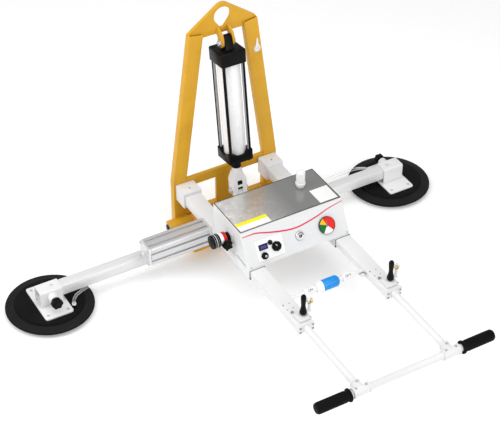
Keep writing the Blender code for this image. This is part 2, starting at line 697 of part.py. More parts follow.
# Its inside is open below, between the beams
inset_foot = BOX_FOOT_FRONT - (BOX_TOP_FRONT - BOX_FOOT_FRONT) * 0.05 / (BOX_TOP - BOX_BOTTOM)
combine(box, finish("box_inside", outline_mesh([
    (BOX_BACK - BOX_SHEET, BOX_BOTTOM - 0.05), (BOX_BACK - BOX_SHEET, BOX_TOP - BOX_SHEET),
    (BOX_TOP_FRONT + BOX_SHEET, BOX_TOP - BOX_SHEET), (inset_foot + BOX_SHEET * 1.2, BOX_BOTTOM - 0.05)], [],
    -BOX_HALF + BOX_SHEET, BOX_HALF - BOX_SHEET, "X"), STEEL))

# Everything on the sloped front is placed by x, distance down the slope and height above it
slope = math.atan2(BOX_TOP_FRONT - BOX_FOOT_FRONT, BOX_TOP - BOX_BOTTOM)
front = empty("front_face", (0, BOX_TOP_FRONT, BOX_TOP), ROOT, (math.pi / 2 - slope, 0, 0))


def on_front(name, bm, mat, x, s, bevel=0.0):
    return finish(name, bm, mat, (x, -s, GAP), parent=front, bevel=bevel)


KNOB_0 = PANEL_T + GAP
panel = on_front("panel", outline_mesh(rectangle(PANEL_X0, PANEL_X1, -PANEL_S1, -PANEL_S0, 0.004), [], 0.0, PANEL_T),
                 WHITE, 0, 0)
combine(panel, on_front("display_block", box_mesh(-0.0153, 0.0153, -0.0088, 0.0088, PANEL_T / 2, PANEL_T + 0.003),
        BLACK, DISPLAY_X, DISPLAY_S), "UNION")


def panel_knob(name, x, s, radius, height):
    """Fluted skirt with a smaller grip on top, turned about its own axis."""
    knob = on_front(name, outline_mesh(lobes(radius, 0.0012, 8, 32), [], KNOB_0, KNOB_0 + height * 0.45), BLACK, x, s)
    grip = on_front(name + "_grip", rod_mesh(radius * 0.74, KNOB_0 + 0.001, KNOB_0 + height, 20, "Z", 0.001),
                    BLACK, x, s)
    combine(knob, grip, "UNION")
    return knob


panel_knob("big_knob", BIG_KNOB_X, BIG_KNOB_S, BIG_KNOB_R, 0.015)
panel_knob("small_knob", SMALL_KNOB_X, SMALL_KNOB_S, SMALL_KNOB_R, 0.013)
on_front("push_button", rod_mesh(BUTTON_R, KNOB_0 + BUTTON_TRAVEL, KNOB_0 + BUTTON_TRAVEL + 0.0035, 16, "Z", 0.0006),
         BLACK, BUTTON_X, BUTTON_S)
combine(panel, on_front("button_collar", turned_mesh([(BUTTON_R + RUN, PANEL_T / 2), (BUTTON_R + 0.002, PANEL_T / 2),
        (BUTTON_R + 0.002, PANEL_T + 0.0035), (BUTTON_R + RUN, PANEL_T + 0.0035)], 16), BLACK, BUTTON_X, BUTTON_S),
        "UNION")

bezel = on_front("key_switch", turned_mesh([(0, 0), (KEY_R, 0), (KEY_R, 0.003), (KEY_R - 0.0025, 0.006),
                 (0.0083, 0.006), (0.0083, 0.003), (0, 0.003)], 28), CHROME, KEY_X, KEY_S)
key = on_front("key_rotor", rod_mesh(0.0080, 0.003 + GAP, 0.006, 20), CHROME, KEY_X, KEY_S)
combine(key, on_front("key_bar", box_mesh(-0.0012, 0.0012, -0.0065, 0.0065, 0.005, 0.010), CHROME, KEY_X, KEY_S),
        "UNION")

gauge = on_front("gauge", turned_mesh([(0, 0), (GAUGE_R, 0), (GAUGE_R, 0.009), (GAUGE_R - 0.0025, 0.011),
                 (GAUGE_R - 0.004, 0.011), (GAUGE_R - 0.004, 0.005), (0, 0.005)], 32), BLACK, GAUGE_X, GAUGE_S)
needle = on_front("gauge_needle", box_mesh(-0.0008, 0.0008, -0.006, 0.022, 0.0062, 0.0074), BLACK, GAUGE_X, GAUGE_S)
combine(needle, on_front("needle_hub", rod_mesh(0.003, 0.005 + GAP, 0.0082, 16), BLACK, GAUGE_X, GAUGE_S), "UNION")

finish("silencer", turned_mesh([
    (0, 0), (SILENCER_R - 0.001, 0), (SILENCER_R - 0.001, 0.006), (SILENCER_R + 0.0022, 0.008),
    (SILENCER_R + 0.0022, 0.016), (SILENCER_R, 0.018), (SILENCER_R, SILENCER_H - 0.010),
    (SILENCER_R - 0.004, SILENCER_H - 0.003), (0, SILENCER_H)], 20), WHITE,
    (SILENCER_X, SILENCER_Y, BOX_TOP + GAP))

# Pressure regulator on the box's left side, its axis across the machine
reg_x = -BOX_HALF - GAP
finish("regulator_bracket", box_mesh(-0.003, 0.0, -0.026, 0.026, -0.027, 0.027), SILVER, (reg_x, REG_Y, REG_Z),
       bevel=0.0008)
body_x = reg_x - 0.003 - GAP
regulator = finish("regulator_body", box_mesh(-REG_BODY, 0.0, -REG_SIZE / 2, REG_SIZE / 2, -REG_SIZE / 2,
                   REG_SIZE / 2), BLACK, (body_x, REG_Y, REG_Z), bevel=0.003)
combine(regulator, finish("bonnet", rod_mesh(REG_SIZE / 2 - 0.001, -REG_BODY - 0.014, -0.020, 28, "X"), BLACK,
        (body_x, REG_Y, REG_Z)), "UNION")
combine(regulator, finish("lock_boss", rod_mesh(0.009, REG_SIZE / 2 - 0.004, REG_SIZE / 2 + 0.004, 20, "Y"), BLACK,
        (body_x - REG_BODY / 2, REG_Y, REG_Z - 0.004), (0, 0, math.pi)), "UNION")
ring_x = body_x - REG_BODY - 0.014 - GAP
finish("regulator_knob", outline_mesh(lobes(REG_RING_R, 0.0016, 12, 36), [], ring_x - REG_RING_L, ring_x, "X"), BLACK,
       (0, REG_Y, REG_Z), bevel=0.001)
finish("star_knob", outline_mesh(lobes(0.019, 0.006, 5, 30), [], REG_SIZE / 2 + 0.004 + GAP, REG_SIZE / 2 + 0.022,
       "Y"), BLACK, (body_x - REG_BODY / 2, REG_Y, REG_Z - 0.004), (0, 0, math.pi), bevel=0.0015)

# Slide valve between the forward beams: a grip that runs on a tube between two stop sleeves
slide_half = BEAM_X - FORE_W / 2 - GAP
stop_right = SLIDE_GRIP_X1 + SLIDE_TRAVEL + 0.001
stop_left = SLIDE_GRIP_X0 - SLIDE_COLLAR_L - 0.001
slide_tube = finish("slide_tube", turned_mesh([
    (0, -slide_half), (SLIDE_R + 0.003, -slide_half), (SLIDE_R + 0.003, -slide_half + 0.009),
    (SLIDE_R, -slide_half + 0.009), (SLIDE_R, stop_left - SLIDE_STOP_L), (SLIDE_STOP_R, stop_left - SLIDE_STOP_L),
    (SLIDE_STOP_R, stop_left), (SLIDE_R, stop_left), (SLIDE_R, stop_right), (SLIDE_STOP_R, stop_right),
    (SLIDE_STOP_R, stop_right + SLIDE_STOP_L), (SLIDE_R, stop_right + SLIDE_STOP_L), (SLIDE_R, slide_half),
    (0, slide_half)], 16, "X"), SILVER, (0, SLIDE_Y, SLIDE_Z))
ball = [(SLIDE_BALL_R * math.cos(a), SLIDE_BALL_REACH + SLIDE_BALL_R * math.sin(a)) for a in (-0.9, -0.35, 0.2, 0.75)]
combine(slide_tube, finish("ball_joint", turned_mesh([(0, 0), (0.0045, 0), (0.0045, ball[0][1])] + ball
        + [(0, SLIDE_BALL_REACH + SLIDE_BALL_R)], 12, "Y"), STEEL, (SLIDE_BALL_X, SLIDE_Y, SLIDE_Z), (0, 0, math.pi)),
        "UNION")
s0, s1 = SLIDE_GRIP_X0, SLIDE_GRIP_X1
bore = SLIDE_R + RUN
finish("slide_sleeve", turned_mesh([
    (bore, s0 - SLIDE_COLLAR_L), (SLIDE_COLLAR_R, s0 - SLIDE_COLLAR_L), (SLIDE_COLLAR_R, s0), (SLIDE_GRIP_R, s0),
    (SLIDE_GRIP_R, s1 - 0.007), (SLIDE_GRIP_R - 0.005, s1), (bore, s1)], 24, "X"), BLUE, (0, SLIDE_Y, SLIDE_Z))


# Hand valves on the forward beams: base plate, stem with its elbow, and the lever
def hand_valve(side, sign):
    cx = sign * BEAM_X
    base = FORE_TOP + GAP
    top = base + VALVE_H
    block = finish("valve_block_" + side, box_mesh(VALVE_OFFSET - VALVE_W / 2, VALVE_OFFSET + VALVE_W / 2,
                   -VALVE_L / 2, VALVE_L / 2, base, top), SILVER, (cx, VALVE_Y, 0), bevel=0.001)
    stem_y = VALVE_Y + 0.011
    combine(block, finish("stem_foot", box_mesh(VALVE_OFFSET + VALVE_W / 2 - 0.004, ELBOW_OFFSET + 0.005, -0.006, 0.006,
            base + 0.0008, top - 0.0008), SILVER, (cx, stem_y, 0)), "UNION")
    combine(block, finish("valve_stem", rod_mesh(0.0045, top - 0.003, ELBOW_Z, 12), SILVER,
            (cx + ELBOW_OFFSET, stem_y, 0)), "UNION")
    combine(block, finish("valve_elbow", rod_mesh(0.0075, -0.008, 0.010, 12, "X", 0.001), STEEL,
            (cx + ELBOW_OFFSET, stem_y, ELBOW_Z)), "UNION")
    ball = [(LEVER_BALL_R * math.sin(a), -LEVER_BALL_R * math.cos(a)) for a in (0.0, 0.4, 0.8, 1.2, 1.6)]
    tip = LEVER_H - LEVER_BALL_R
    stick = [(0.0112, 0.006), (0.0088, 0.016), (0.0074, 0.027), (0.0081, 0.040), (0.0092, tip - 0.014),
             (0.0088, tip - 0.007), (0.0055, tip - 0.0015), (0, tip)]
    finish("lever_" + side, turned_mesh(ball + stick, 16), BLACK,
           (cx + LEVER_OFFSET, VALVE_Y, top + GAP + LEVER_BALL_R))


hand_valve("left", -1)
hand_valve("right", 1)


# Bail: two bent tube legs open at the top, eye plate with ears, cross frame
def leg(side, sign):
    def outline(inset, foot, over):
        t = inset * math.hypot(1.0, LEG_LEAN_OUT)
        return [(sign * x, z) for x, z in (
            (LEG_IN + inset, foot), (LEG_OUT - inset, foot), (LEG_OUT - inset, LEG_KNEE),
            (LEG_TOP_OUT - t - LEG_LEAN_OUT * over, LEG_TOP_Z - GAP + over),
            (LEG_TOP_IN + t - LEG_LEAN_IN * over, LEG_TOP_Z - LEG_TOP_DROP - GAP + over), (LEG_IN + inset, LEG_KNEE))]
    y0, y1 = LEG_FRONT, LEG_FRONT + LEG_DEPTH
    tube = finish("leg_" + side, outline_mesh(outline(0.0, 0.0, 0.0), [], y0, y1, "Y"), YELLOW)
    x0, x1 = sorted((sign * (LEG_IN + RUN), sign * KNUCKLE_OUT))
    combine(tube, finish("leg_knuckle", rod_mesh(KNUCKLE_R, x0, x1, 24, "X"), YELLOW, (0, HINGE_Y, HINGE_Z)), "UNION")
    combine(tube, finish("knuckle_web", box_mesh(x0 + 0.002, sign * (LEG_OUT - 0.004) if sign > 0 else x1 - 0.002,
            HINGE_Y + 0.0125, LEG_FRONT + 0.0015, HINGE_Z - 0.0147, HINGE_Z + 0.0147), YELLOW), "UNION")
    combine(tube, finish("leg_hollow", outline_mesh(outline(LEG_WALL, -0.01, 0.02), [], y0 + LEG_WALL, y1 - LEG_WALL,
            "Y"), YELLOW))
    combine(tube, finish("leg_bore", rod_mesh(PIN_R + RUN, -PIN_HALF, PIN_HALF, 20, "X"), YELLOW,
            (0, HINGE_Y, HINGE_Z)))


leg("left", -1)
leg("right", 1)


def eye_plate():
    """Plate that stands on the open tubes at mid depth; its foot drops between them and carries the ears."""
    low = LEG_TOP_Z - LEG_TOP_DROP
    foot_x = LEG_TOP_IN + (low - EYE_FOOT) * LEG_LEAN_IN - 0.0005
    half = [(foot_x, EYE_FOOT), (LEG_TOP_IN - 0.0005, low), (LEG_TOP_OUT, LEG_TOP_Z),
            (LEG_TOP_OUT - 0.003, LEG_TOP_Z + 0.005)]
    crown = circle(0.034, 7, 0.0, EYE_APEX - 0.034, math.radians(50), math.radians(130))
    outline = half + crown + [(-x, z) for x, z in reversed(half)]
    tear = circle(EYE_R, 15, 0.0, EYE_Z, math.radians(-35), math.radians(215)) + [(-0.006, EYE_Z - 0.046),
                                                                                  (0.006, EYE_Z - 0.046)]
    plate = finish("eye_plate", outline_mesh(outline, [tear], EYE_FRONT, EYE_FRONT + EYE_T, "Y"), YELLOW)
    ear = [(EYE_FRONT + 0.004, LEG_TOP_Z), (EYE_FRONT - 0.009, LEG_TOP_Z - 0.001), (TOP_PIN_Y - 0.009, TOP_PIN_Z + 0.033),
           (TOP_PIN_Y - 0.0155, TOP_PIN_Z + 0.014)]
    ear += circle(0.017, 7, TOP_PIN_Y, TOP_PIN_Z, math.radians(190), math.radians(350))
    ear += [(TOP_PIN_Y + 0.017, TOP_PIN_Z + 0.014), (EYE_FRONT + 0.004, EYE_FOOT + 0.003)]
    for sign in (-1, 1):
        x0, x1 = sorted((sign * EAR_X, sign * (EAR_X + EAR_T)))
        combine(plate, finish("ear", outline_mesh(ear, [], x0, x1, "X"), YELLOW), "UNION")
    combine(plate, finish("ear_bore", rod_mesh(TOP_PIN_R + RUN, -0.05, 0.05, 16, "X"), YELLOW,
            (0, TOP_PIN_Y, TOP_PIN_Z)))


eye_plate()
foot = [rectangle(-LEG_DEPTH / 2, LEG_DEPTH / 2, 0.0, FOOT_BAR_H, 0.003),
        rectangle(-LEG_DEPTH / 2 + LEG_WALL, LEG_DEPTH / 2 - LEG_WALL, LEG_WALL, FOOT_BAR_H - LEG_WALL)]
cross_half = LEG_IN - GAP
cross = finish("cross_frame", outline_mesh(foot[0], [foot[1]], -cross_half, cross_half, "X"), YELLOW,
               (0, LEG_FRONT + LEG_DEPTH / 2, 0))
cross_y = LEG_FRONT + 0.001
combine(cross, finish("post", box_mesh(-POST_HALF, POST_HALF, cross_y, cross_y + CROSS_T, FOOT_BAR_H - 0.001,
        CROSS_Z0 + 0.004), YELLOW), "UNION")
upper = LEG_IN - GAP - LEG_LEAN_IN * (CROSS_Z1 - LEG_KNEE) - 0.0003
combine(cross, finish("crossbar", outline_mesh([(-cross_half, CROSS_Z0), (cross_half, CROSS_Z0),
        (cross_half, LEG_KNEE - 0.001), (upper, CROSS_Z1), (-upper, CROSS_Z1), (-cross_half, LEG_KNEE - 0.001)], [],
        cross_y, cross_y + CROSS_T, "Y"), YELLOW), "UNION")
finish("top_pin", turned_mesh([
    (0, -EAR_X - EAR_T - 0.008), (0.010, -EAR_X - EAR_T - 0.008), (0.010, -EAR_X - EAR_T - GAP),
    (TOP_PIN_R, -EAR_X - EAR_T - GAP), (TOP_PIN_R, EAR_X + EAR_T + 0.008), (0, EAR_X + EAR_T + 0.008)], 20, "X"),
    STEEL, (0, TOP_PIN_Y, TOP_PIN_Z))

# Tilt cylinder, hung from the top pin and drawn along its own axis
cyl = empty("cylinder_axis", (0, TOP_PIN_Y, TOP_PIN_Z), ROOT, (-CYL_TILT, 0, 0))
half_cap = CAP_SIZE / 2
cap_outline = [(half_cap, -half_cap + CAP_CHAMFER), (half_cap, half_cap - CAP_CHAMFER),
               (half_cap - CAP_CHAMFER, half_cap), (-half_cap + CAP_CHAMFER, half_cap),
               (-half_cap, half_cap - CAP_CHAMFER), (-half_cap, -half_cap + CAP_CHAMFER),
               (-half_cap + CAP_CHAMFER, -half_cap), (half_cap - CAP_CHAMFER, -half_cap)]
cap = finish("cylinder_cap", outline_mesh(cap_outline, [], CAP_TOP - CAP_H, CAP_TOP), BLACK, parent=cyl, bevel=0.003)
tang_half = EAR_X - 0.0015
tang = circle(0.014, 9, 0.0, 0.012, 0.0, math.pi) + [(-0.022, CAP_TOP - 0.005), (0.022, CAP_TOP - 0.005)]
combine(cap, finish("tang", outline_mesh(tang, [], -tang_half, tang_half, "X"), BLACK, parent=cyl), "UNION")
combine(cap, finish("tang_bore", rod_mesh(TOP_PIN_R + RUN, -0.03, 0.03, 20, "X"), BLACK, parent=cyl))

low_top = CAP_LOW + HEAD_H
seat = low_top - HEAD_DIP
barrel_0 = seat + GAP
barrel_1 = CAP_TOP - CAP_H - GAP
inner_r = BARREL_R - BARREL_WALL
finish("cylinder_barrel", turned_mesh([(inner_r, barrel_0), (BARREL_R, barrel_0), (BARREL_R, barrel_1),
       (inner_r, barrel_1)], 40), CHROME, parent=cyl)
head = finish("cylinder_head", outline_mesh(rectangle(-HEAD_SIZE / 2, HEAD_SIZE / 2, -HEAD_SIZE / 2, HEAD_SIZE / 2,
              0.005, 3), [], CAP_LOW, low_top), BLACK, parent=cyl, bevel=0.0012)
# Its top dips in a U on each side, round the barrel's seat, and leaves an ear at each tie rod
for axis in "XY":
    combine(head, finish("head_dip", rod_mesh(0.034, -0.06, 0.06, 24, axis), BLACK,
            (0, 0, seat + 0.034), parent=cyl))
combine(head, finish("barrel_seat", rod_mesh(BARREL_R + RUN, seat, low_top + 0.02, 40), BLACK, parent=cyl))
combine(head, finish("head_boss", rod_mesh(0.022, CAP_LOW - 0.010, CAP_LOW + 0.004, 20), BLACK, parent=cyl), "UNION")
for sx in (-1, 1):
    for sy in (-1, 1):
        combine(head, finish("tie_rod", rod_mesh(TIE_R, low_top - 0.004, CAP_TOP - CAP_H - GAP, 10), STEEL,
                (sx * TIE_AT, sy * TIE_AT, 0), parent=cyl), "UNION")
combine(head, finish("rod_bore", rod_mesh(ROD_R + RUN, CAP_LOW - 0.02, low_top + 0.01, 24), BLACK, parent=cyl))

piston_1 = barrel_1 - 0.012
finish("piston_rod", turned_mesh([
    (0, FORK_TOP + GAP), (ROD_R, FORK_TOP + GAP), (ROD_R, piston_1 - PISTON_L), (inner_r - RUN, piston_1 - PISTON_L),
    (inner_r - RUN, piston_1), (0, piston_1)], 24), CHROME, parent=cyl)
fork_w, fork_d = FORK_W / 2, FORK_D / 2
fork = finish("fork", outline_mesh([(-fork_w, FORK_END + 0.010), (-fork_w + 0.006, FORK_END), (-FORK_SLOT, FORK_END),
              (-FORK_SLOT, FORK_PIN + FORK_SLOT_REACH), (FORK_SLOT, FORK_PIN + FORK_SLOT_REACH), (FORK_SLOT, FORK_END),
              (fork_w - 0.006, FORK_END), (fork_w, FORK_END + 0.010), (fork_w, FORK_TOP - 0.026),
              (fork_w - 0.012, FORK_TOP), (-fork_w + 0.012, FORK_TOP), (-fork_w, FORK_TOP - 0.026)], [],
              -fork_d, fork_d, "Y"), SILVER, parent=cyl, bevel=0.0015)
lock_nut = finish("lock_nut", outline_mesh(circle(0.017, 6), [circle(ROD_R + RUN, 24)], FORK_TOP - 0.001,
                  FORK_TOP + 0.014), BLACK, parent=cyl)
combine(fork, lock_nut, "UNION")
for sign in (-1, 1):
    x0, x1 = sorted((sign * (fork_w - 0.002), sign * (fork_w + 0.006)))
    combine(fork, finish("fork_pin_head", rod_mesh(0.010, x0, x1, 6, "X"), STEEL, (0, 0, FORK_PIN), parent=cyl),
            "UNION")
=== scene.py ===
"""Vacuum glass lifter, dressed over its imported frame."""
import json
import math

import bmesh
import bpy
from mathutils import Matrix, Vector


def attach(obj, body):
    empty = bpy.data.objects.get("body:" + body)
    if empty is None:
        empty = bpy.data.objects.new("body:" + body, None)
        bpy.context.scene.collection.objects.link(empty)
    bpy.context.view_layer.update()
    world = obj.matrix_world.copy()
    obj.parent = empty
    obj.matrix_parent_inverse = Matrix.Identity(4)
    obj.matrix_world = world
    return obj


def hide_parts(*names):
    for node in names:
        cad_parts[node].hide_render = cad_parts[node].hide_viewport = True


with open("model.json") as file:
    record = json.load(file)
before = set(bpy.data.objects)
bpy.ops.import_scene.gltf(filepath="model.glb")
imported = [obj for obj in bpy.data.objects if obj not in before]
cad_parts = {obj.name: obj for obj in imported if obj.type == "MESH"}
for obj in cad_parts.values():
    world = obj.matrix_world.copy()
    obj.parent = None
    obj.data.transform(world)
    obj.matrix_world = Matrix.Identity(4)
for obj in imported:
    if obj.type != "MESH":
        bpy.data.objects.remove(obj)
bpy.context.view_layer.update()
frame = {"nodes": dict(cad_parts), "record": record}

# The machine's mid-plane, arms' axis and floor, seen from the middle of the footprint
MACHINE = Vector((0.09, 0.39425, 0.0))


def at(x, y, z):
    """A point of the machine in the frame's coordinates."""
    return MACHINE + Vector((x, y, z))


def up(z):
    """A shift along the local upright."""
    return Matrix.Translation((0, 0, z))


def here(x, y, z):
    """An unturned place at a point of the machine."""
    return Matrix.Translation(at(x, y, z))


# Camera, fitted to the photograph's perspective
CAMERA_DOWN = 38.896
CAMERA_ASIDE = 29.738
camera = bpy.data.objects.new("Camera", bpy.data.cameras.new("Camera"))
bpy.context.scene.collection.objects.link(camera)
camera.location = at(-2.0572, -3.6025, 3.4397)
camera.rotation_euler = (math.radians(90 - CAMERA_DOWN), 0.0, math.radians(-CAMERA_ASIDE))
camera.data.sensor_width = 36.0
camera.data.lens = 109.306
camera.data.clip_end = 50.0
bpy.context.scene.camera = camera
bpy.context.scene.view_settings.view_transform = "Standard"

# Floor and studio light
floor_bm = bmesh.new()
bmesh.ops.create_grid(floor_bm, x_segments=4, y_segments=4, size=30.0)
floor_mesh = bpy.data.meshes.new("floor")
floor_bm.to_mesh(floor_mesh)
floor_bm.free()
floor = bpy.data.objects.new("floor", floor_mesh)
bpy.context.scene.collection.objects.link(floor)
floor.location.z = -0.0005

world = bpy.data.worlds.new("studio")
bpy.context.scene.world = world
world.use_nodes = True
world.node_tree.nodes["Background"].inputs["Color"].default_value = (1.0, 1.0, 1.0, 1.0)
world.node_tree.nodes["Background"].inputs["Strength"].default_value = 0.52


def area_light(name, location, target, size, power):
    data = bpy.data.lights.new(name, "AREA")
    data.shape = "DISK"
    data.size = size
    data.energy = power
    lamp = bpy.data.objects.new(name, data)
    bpy.context.scene.collection.objects.link(lamp)
    lamp.location = location
    lamp.rotation_euler = (target - location).to_track_quat("-Z", "Y").to_euler()


area_light("overhead", at(-0.3, -0.6, 3.4), at(0, -0.2, 0), 4.0, 52.0)
area_light("key", at(-3.4, 0.5, 2.6), at(0, -0.2, 0.2), 2.4, 60.0)
area_light("fill", at(1.0, -4.2, 2.4), at(0, -0.2, 0.2), 3.0, 58.0)


# Shader groups shared by the finishes
def node_group(name, inputs, outputs):
    group = bpy.data.node_groups.new(name, "ShaderNodeTree")
    for label, kind, value in inputs:
        socket = group.interface.new_socket(name=label, in_out="INPUT", socket_type=kind)
        socket.default_value = value
    for label, kind in outputs:
        group.interface.new_socket(name=label, in_out="OUTPUT", socket_type=kind)
    return group, group.nodes.new("NodeGroupInput"), group.nodes.new("NodeGroupOutput")


def speckle_group():
    """Even fine grain: a mask round 0.5 and the same as a height."""
    group, gin, gout = node_group("fine_grain", [("Scale", "NodeSocketFloat", 400.0),
                                      ("Detail", "NodeSocketFloat", 3.0)], [("Mask", "NodeSocketFloat"),
                                      ("Height", "NodeSocketFloat")])
    coord = group.nodes.new("ShaderNodeTexCoord")
    noise = group.nodes.new("ShaderNodeTexNoise")
    group.links.new(coord.outputs["Object"], noise.inputs["Vector"])
    group.links.new(gin.outputs["Scale"], noise.inputs["Scale"])
    group.links.new(gin.outputs["Detail"], noise.inputs["Detail"])
    group.links.new(noise.outputs["Fac"], gout.inputs["Mask"])
    group.links.new(noise.outputs["Fac"], gout.inputs["Height"])
    return group


def brushed_group():
    """Fine lines drawn out along X, Y or Z by the stretch vector."""
    group, gin, gout = node_group("brushed_lines", [("Stretch", "NodeSocketVector", (2.0, 300.0, 300.0)),
                                      ("Scale", "NodeSocketFloat", 3.0)], [("Mask", "NodeSocketFloat"),
                                      ("Height", "NodeSocketFloat")])
    coord = group.nodes.new("ShaderNodeTexCoord")
    scale = group.nodes.new("ShaderNodeVectorMath")
    scale.operation = "MULTIPLY"
    noise = group.nodes.new("ShaderNodeTexNoise")
    noise.inputs["Detail"].default_value = 4.0
    group.links.new(coord.outputs["Object"], scale.inputs[0])
    group.links.new(gin.outputs["Stretch"], scale.inputs[1])
    group.links.new(scale.outputs["Vector"], noise.inputs["Vector"])
    group.links.new(gin.outputs["Scale"], noise.inputs["Scale"])
    group.links.new(noise.outputs["Fac"], gout.inputs["Mask"])
    group.links.new(noise.outputs["Fac"], gout.inputs["Height"])
    return group


def wear_and_reflection_group():
    """Broad soft patches, 0 to 1: handling dust and scuffs, and on the lid clouds of painted reflection."""
    group, gin, gout = node_group("soft_wear_and_reflection", [("Scale", "NodeSocketFloat", 9.0),
                                      ("Amount", "NodeSocketFloat", 0.5)], [("Mask", "NodeSocketFloat")])
    coord = group.nodes.new("ShaderNodeTexCoord")
    broad = group.nodes.new("ShaderNodeTexNoise")
    broad.inputs["Detail"].default_value = 6.0
    broad.inputs["Roughness"].default_value = 0.65
    ramp = group.nodes.new("ShaderNodeMapRange")
    ramp.inputs["From Min"].default_value = 0.45
    ramp.inputs["From Max"].default_value = 0.75
    scaled = group.nodes.new("ShaderNodeMath")
    scaled.operation = "MULTIPLY"
    group.links.new(coord.outputs["Object"], broad.inputs["Vector"])
    group.links.new(gin.outputs["Scale"], broad.inputs["Scale"])
    group.links.new(broad.outputs["Fac"], ramp.inputs["Value"])
    group.links.new(ramp.outputs["Result"], scaled.inputs[0])
    group.links.new(gin.outputs["Amount"], scaled.inputs[1])
    group.links.new(scaled.outputs["Value"], gout.inputs["Mask"])
    return group


GRAIN = speckle_group()
LINES = brushed_group()
WEAR_AND_REFLECTION = wear_and_reflection_group()


class Finish:
    """One finish: a Principled shader with its patterns."""

    def __init__(self, name, roughness=0.4, metallic=0.0, coat=0.0, **sockets):
        self.mat = bpy.data.materials.new(name)
        self.mat.use_nodes = True
        self.tree = self.mat.node_tree
        self.shader = self.tree.nodes["Principled BSDF"]
        self.shader.inputs["Roughness"].default_value = roughness
        self.shader.inputs["Metallic"].default_value = metallic
        self.shader.inputs["Coat Weight"].default_value = coat
        for label, value in sockets.items():
            self.shader.inputs[label.replace("_", " ")].default_value = value

    def group(self, tree, **values):
        node = self.tree.nodes.new("ShaderNodeGroup")
        node.node_tree = tree
        for label, value in values.items():
            node.inputs[label].default_value = value
        return node

    def ramp(self, source, low, high, target, start=0.3, end=0.7):
        """A mask drives a socket between two values or two colours."""
        if isinstance(low, tuple):
            node = self.tree.nodes.new("ShaderNodeValToRGB")
            node.color_ramp.elements[0].position = start
            node.color_ramp.elements[1].position = end
            node.color_ramp.elements[0].color = (*low, 1.0)
            node.color_ramp.elements[1].color = (*high, 1.0)
            self.tree.links.new(source, node.inputs["Fac"])
            out = node.outputs["Color"]
        else:
            node = self.tree.nodes.new("ShaderNodeMapRange")
            node.inputs["From Min"].default_value = start
            node.inputs["From Max"].default_value = end
            node.inputs["To Min"].default_value = low
            node.inputs["To Max"].default_value = high
            self.tree.links.new(source, node.inputs["Value"])
            out = node.outputs["Result"]
        if target:
            self.tree.links.new(out, self.shader.inputs[target])
        return out

    def bump(self, height, strength, distance=0.0005):
        node = self.tree.nodes.new("ShaderNodeBump")
        node.inputs["Strength"].default_value = strength
        node.inputs["Distance"].default_value = distance
        self.tree.links.new(height, node.inputs["Height"])
        self.tree.links.new(node.outputs["Normal"], self.shader.inputs["Normal"])


def paint(name, colour, shade, roughness, metallic=0.0, coat=0.0, peel=0.12, gloss=0.5):
    """Sprayed paint: slight tone change, orange peel and softly worn gloss."""
    f = Finish(name, roughness, metallic, coat, Specular_IOR_Level=gloss)
    wear = f.group(WEAR_AND_REFLECTION, Scale=7.0, Amount=1.0)
    grain = f.group(GRAIN, Scale=260.0)
    f.ramp(wear.outputs["Mask"], colour, shade, "Base Color", 0.0, 1.0)
    f.ramp(wear.outputs["Mask"], roughness, roughness + 0.12, "Roughness", 0.0, 1.0)
    f.bump(grain.outputs["Height"], peel, 0.0003)
    return f.mat


def brushed(name, colour, shade, low, high, stretch, metallic=1.0, scale=3.0, bump=0.06):
    """Brushed or drawn metal with lines along one axis."""
    f = Finish(name, low, metallic)
    lines = f.group(LINES, Stretch=stretch, Scale=scale)
    f.ramp(lines.outputs["Mask"], colour, shade, "Base Color", 0.3, 0.7)
    f.ramp(lines.outputs["Mask"], low, high, "Roughness", 0.3, 0.7)
    f.bump(lines.outputs["Height"], bump, 0.0002)
    return f.mat


def moulded(name, colour, shade, low, high, scale=500.0, bump=0.15, coat=0.0, gloss=0.22):
    """Moulded plastic or rubber with a fine skin."""
    f = Finish(name, low, 0.0, coat, Specular_IOR_Level=gloss)
    grain = f.group(GRAIN, Scale=scale)
    wear = f.group(WEAR_AND_REFLECTION, Scale=12.0, Amount=1.0)
    f.ramp(wear.outputs["Mask"], colour, shade, "Base Color", 0.0, 1.0)
    f.ramp(grain.outputs["Mask"], low, high, "Roughness", 0.35, 0.65)
    f.bump(grain.outputs["Height"], bump, 0.0002)
    return f.mat


YELLOW = paint("yellow_powder_coat", (0.70, 0.375, 0.022), (0.62, 0.315, 0.020), 0.36, coat=0.05, gloss=0.25)
WELD = paint("yellow_weld", (0.66, 0.33, 0.012), (0.50, 0.24, 0.012), 0.45, peel=0.5)
SILVER = paint("white_silver_paint", (0.78, 0.78, 0.785), (0.73, 0.73, 0.735), 0.42, coat=0.08)
SILVER_WELD = paint("silver_weld", (0.70, 0.70, 0.71), (0.58, 0.58, 0.59), 0.45, metallic=0.2, peel=0.5)
EXTRUSION = brushed("drawn_aluminium", (0.70, 0.70, 0.71), (0.60, 0.60, 0.61), 0.28, 0.42,
                    (2.0, 240.0, 240.0), 0.6)
MACHINED = brushed("machined_aluminium", (0.80, 0.80, 0.81), (0.70, 0.70, 0.71), 0.25, 0.38,
                   (220.0, 220.0, 8.0), 0.5)
SHEET = brushed("brushed_sheet", (0.78, 0.785, 0.79), (0.75, 0.755, 0.76), 0.36, 0.44, (1.5, 120.0, 120.0),
                0.0)
SATIN = brushed("satin_aluminium", (0.78, 0.78, 0.785), (0.70, 0.70, 0.705), 0.36, 0.48, (2.0, 60.0, 60.0),
                0.18)
BARREL = brushed("satin_barrel", (0.96, 0.96, 0.96), (0.92, 0.92, 0.93), 0.26, 0.34, (60.0, 60.0, 1.0), 0.08,
                 2.0, 0.01)
DARK_STEEL = brushed("tie_rod_steel", (0.40, 0.40, 0.42), (0.30, 0.30, 0.32), 0.22, 0.34, (80.0, 80.0, 4.0),
                     0.35)
CHROME = brushed("hard_chrome", (0.86, 0.86, 0.87), (0.80, 0.80, 0.82), 0.08, 0.14, (60.0, 60.0, 1.0), 1.0,
                 2.0, 0.01)
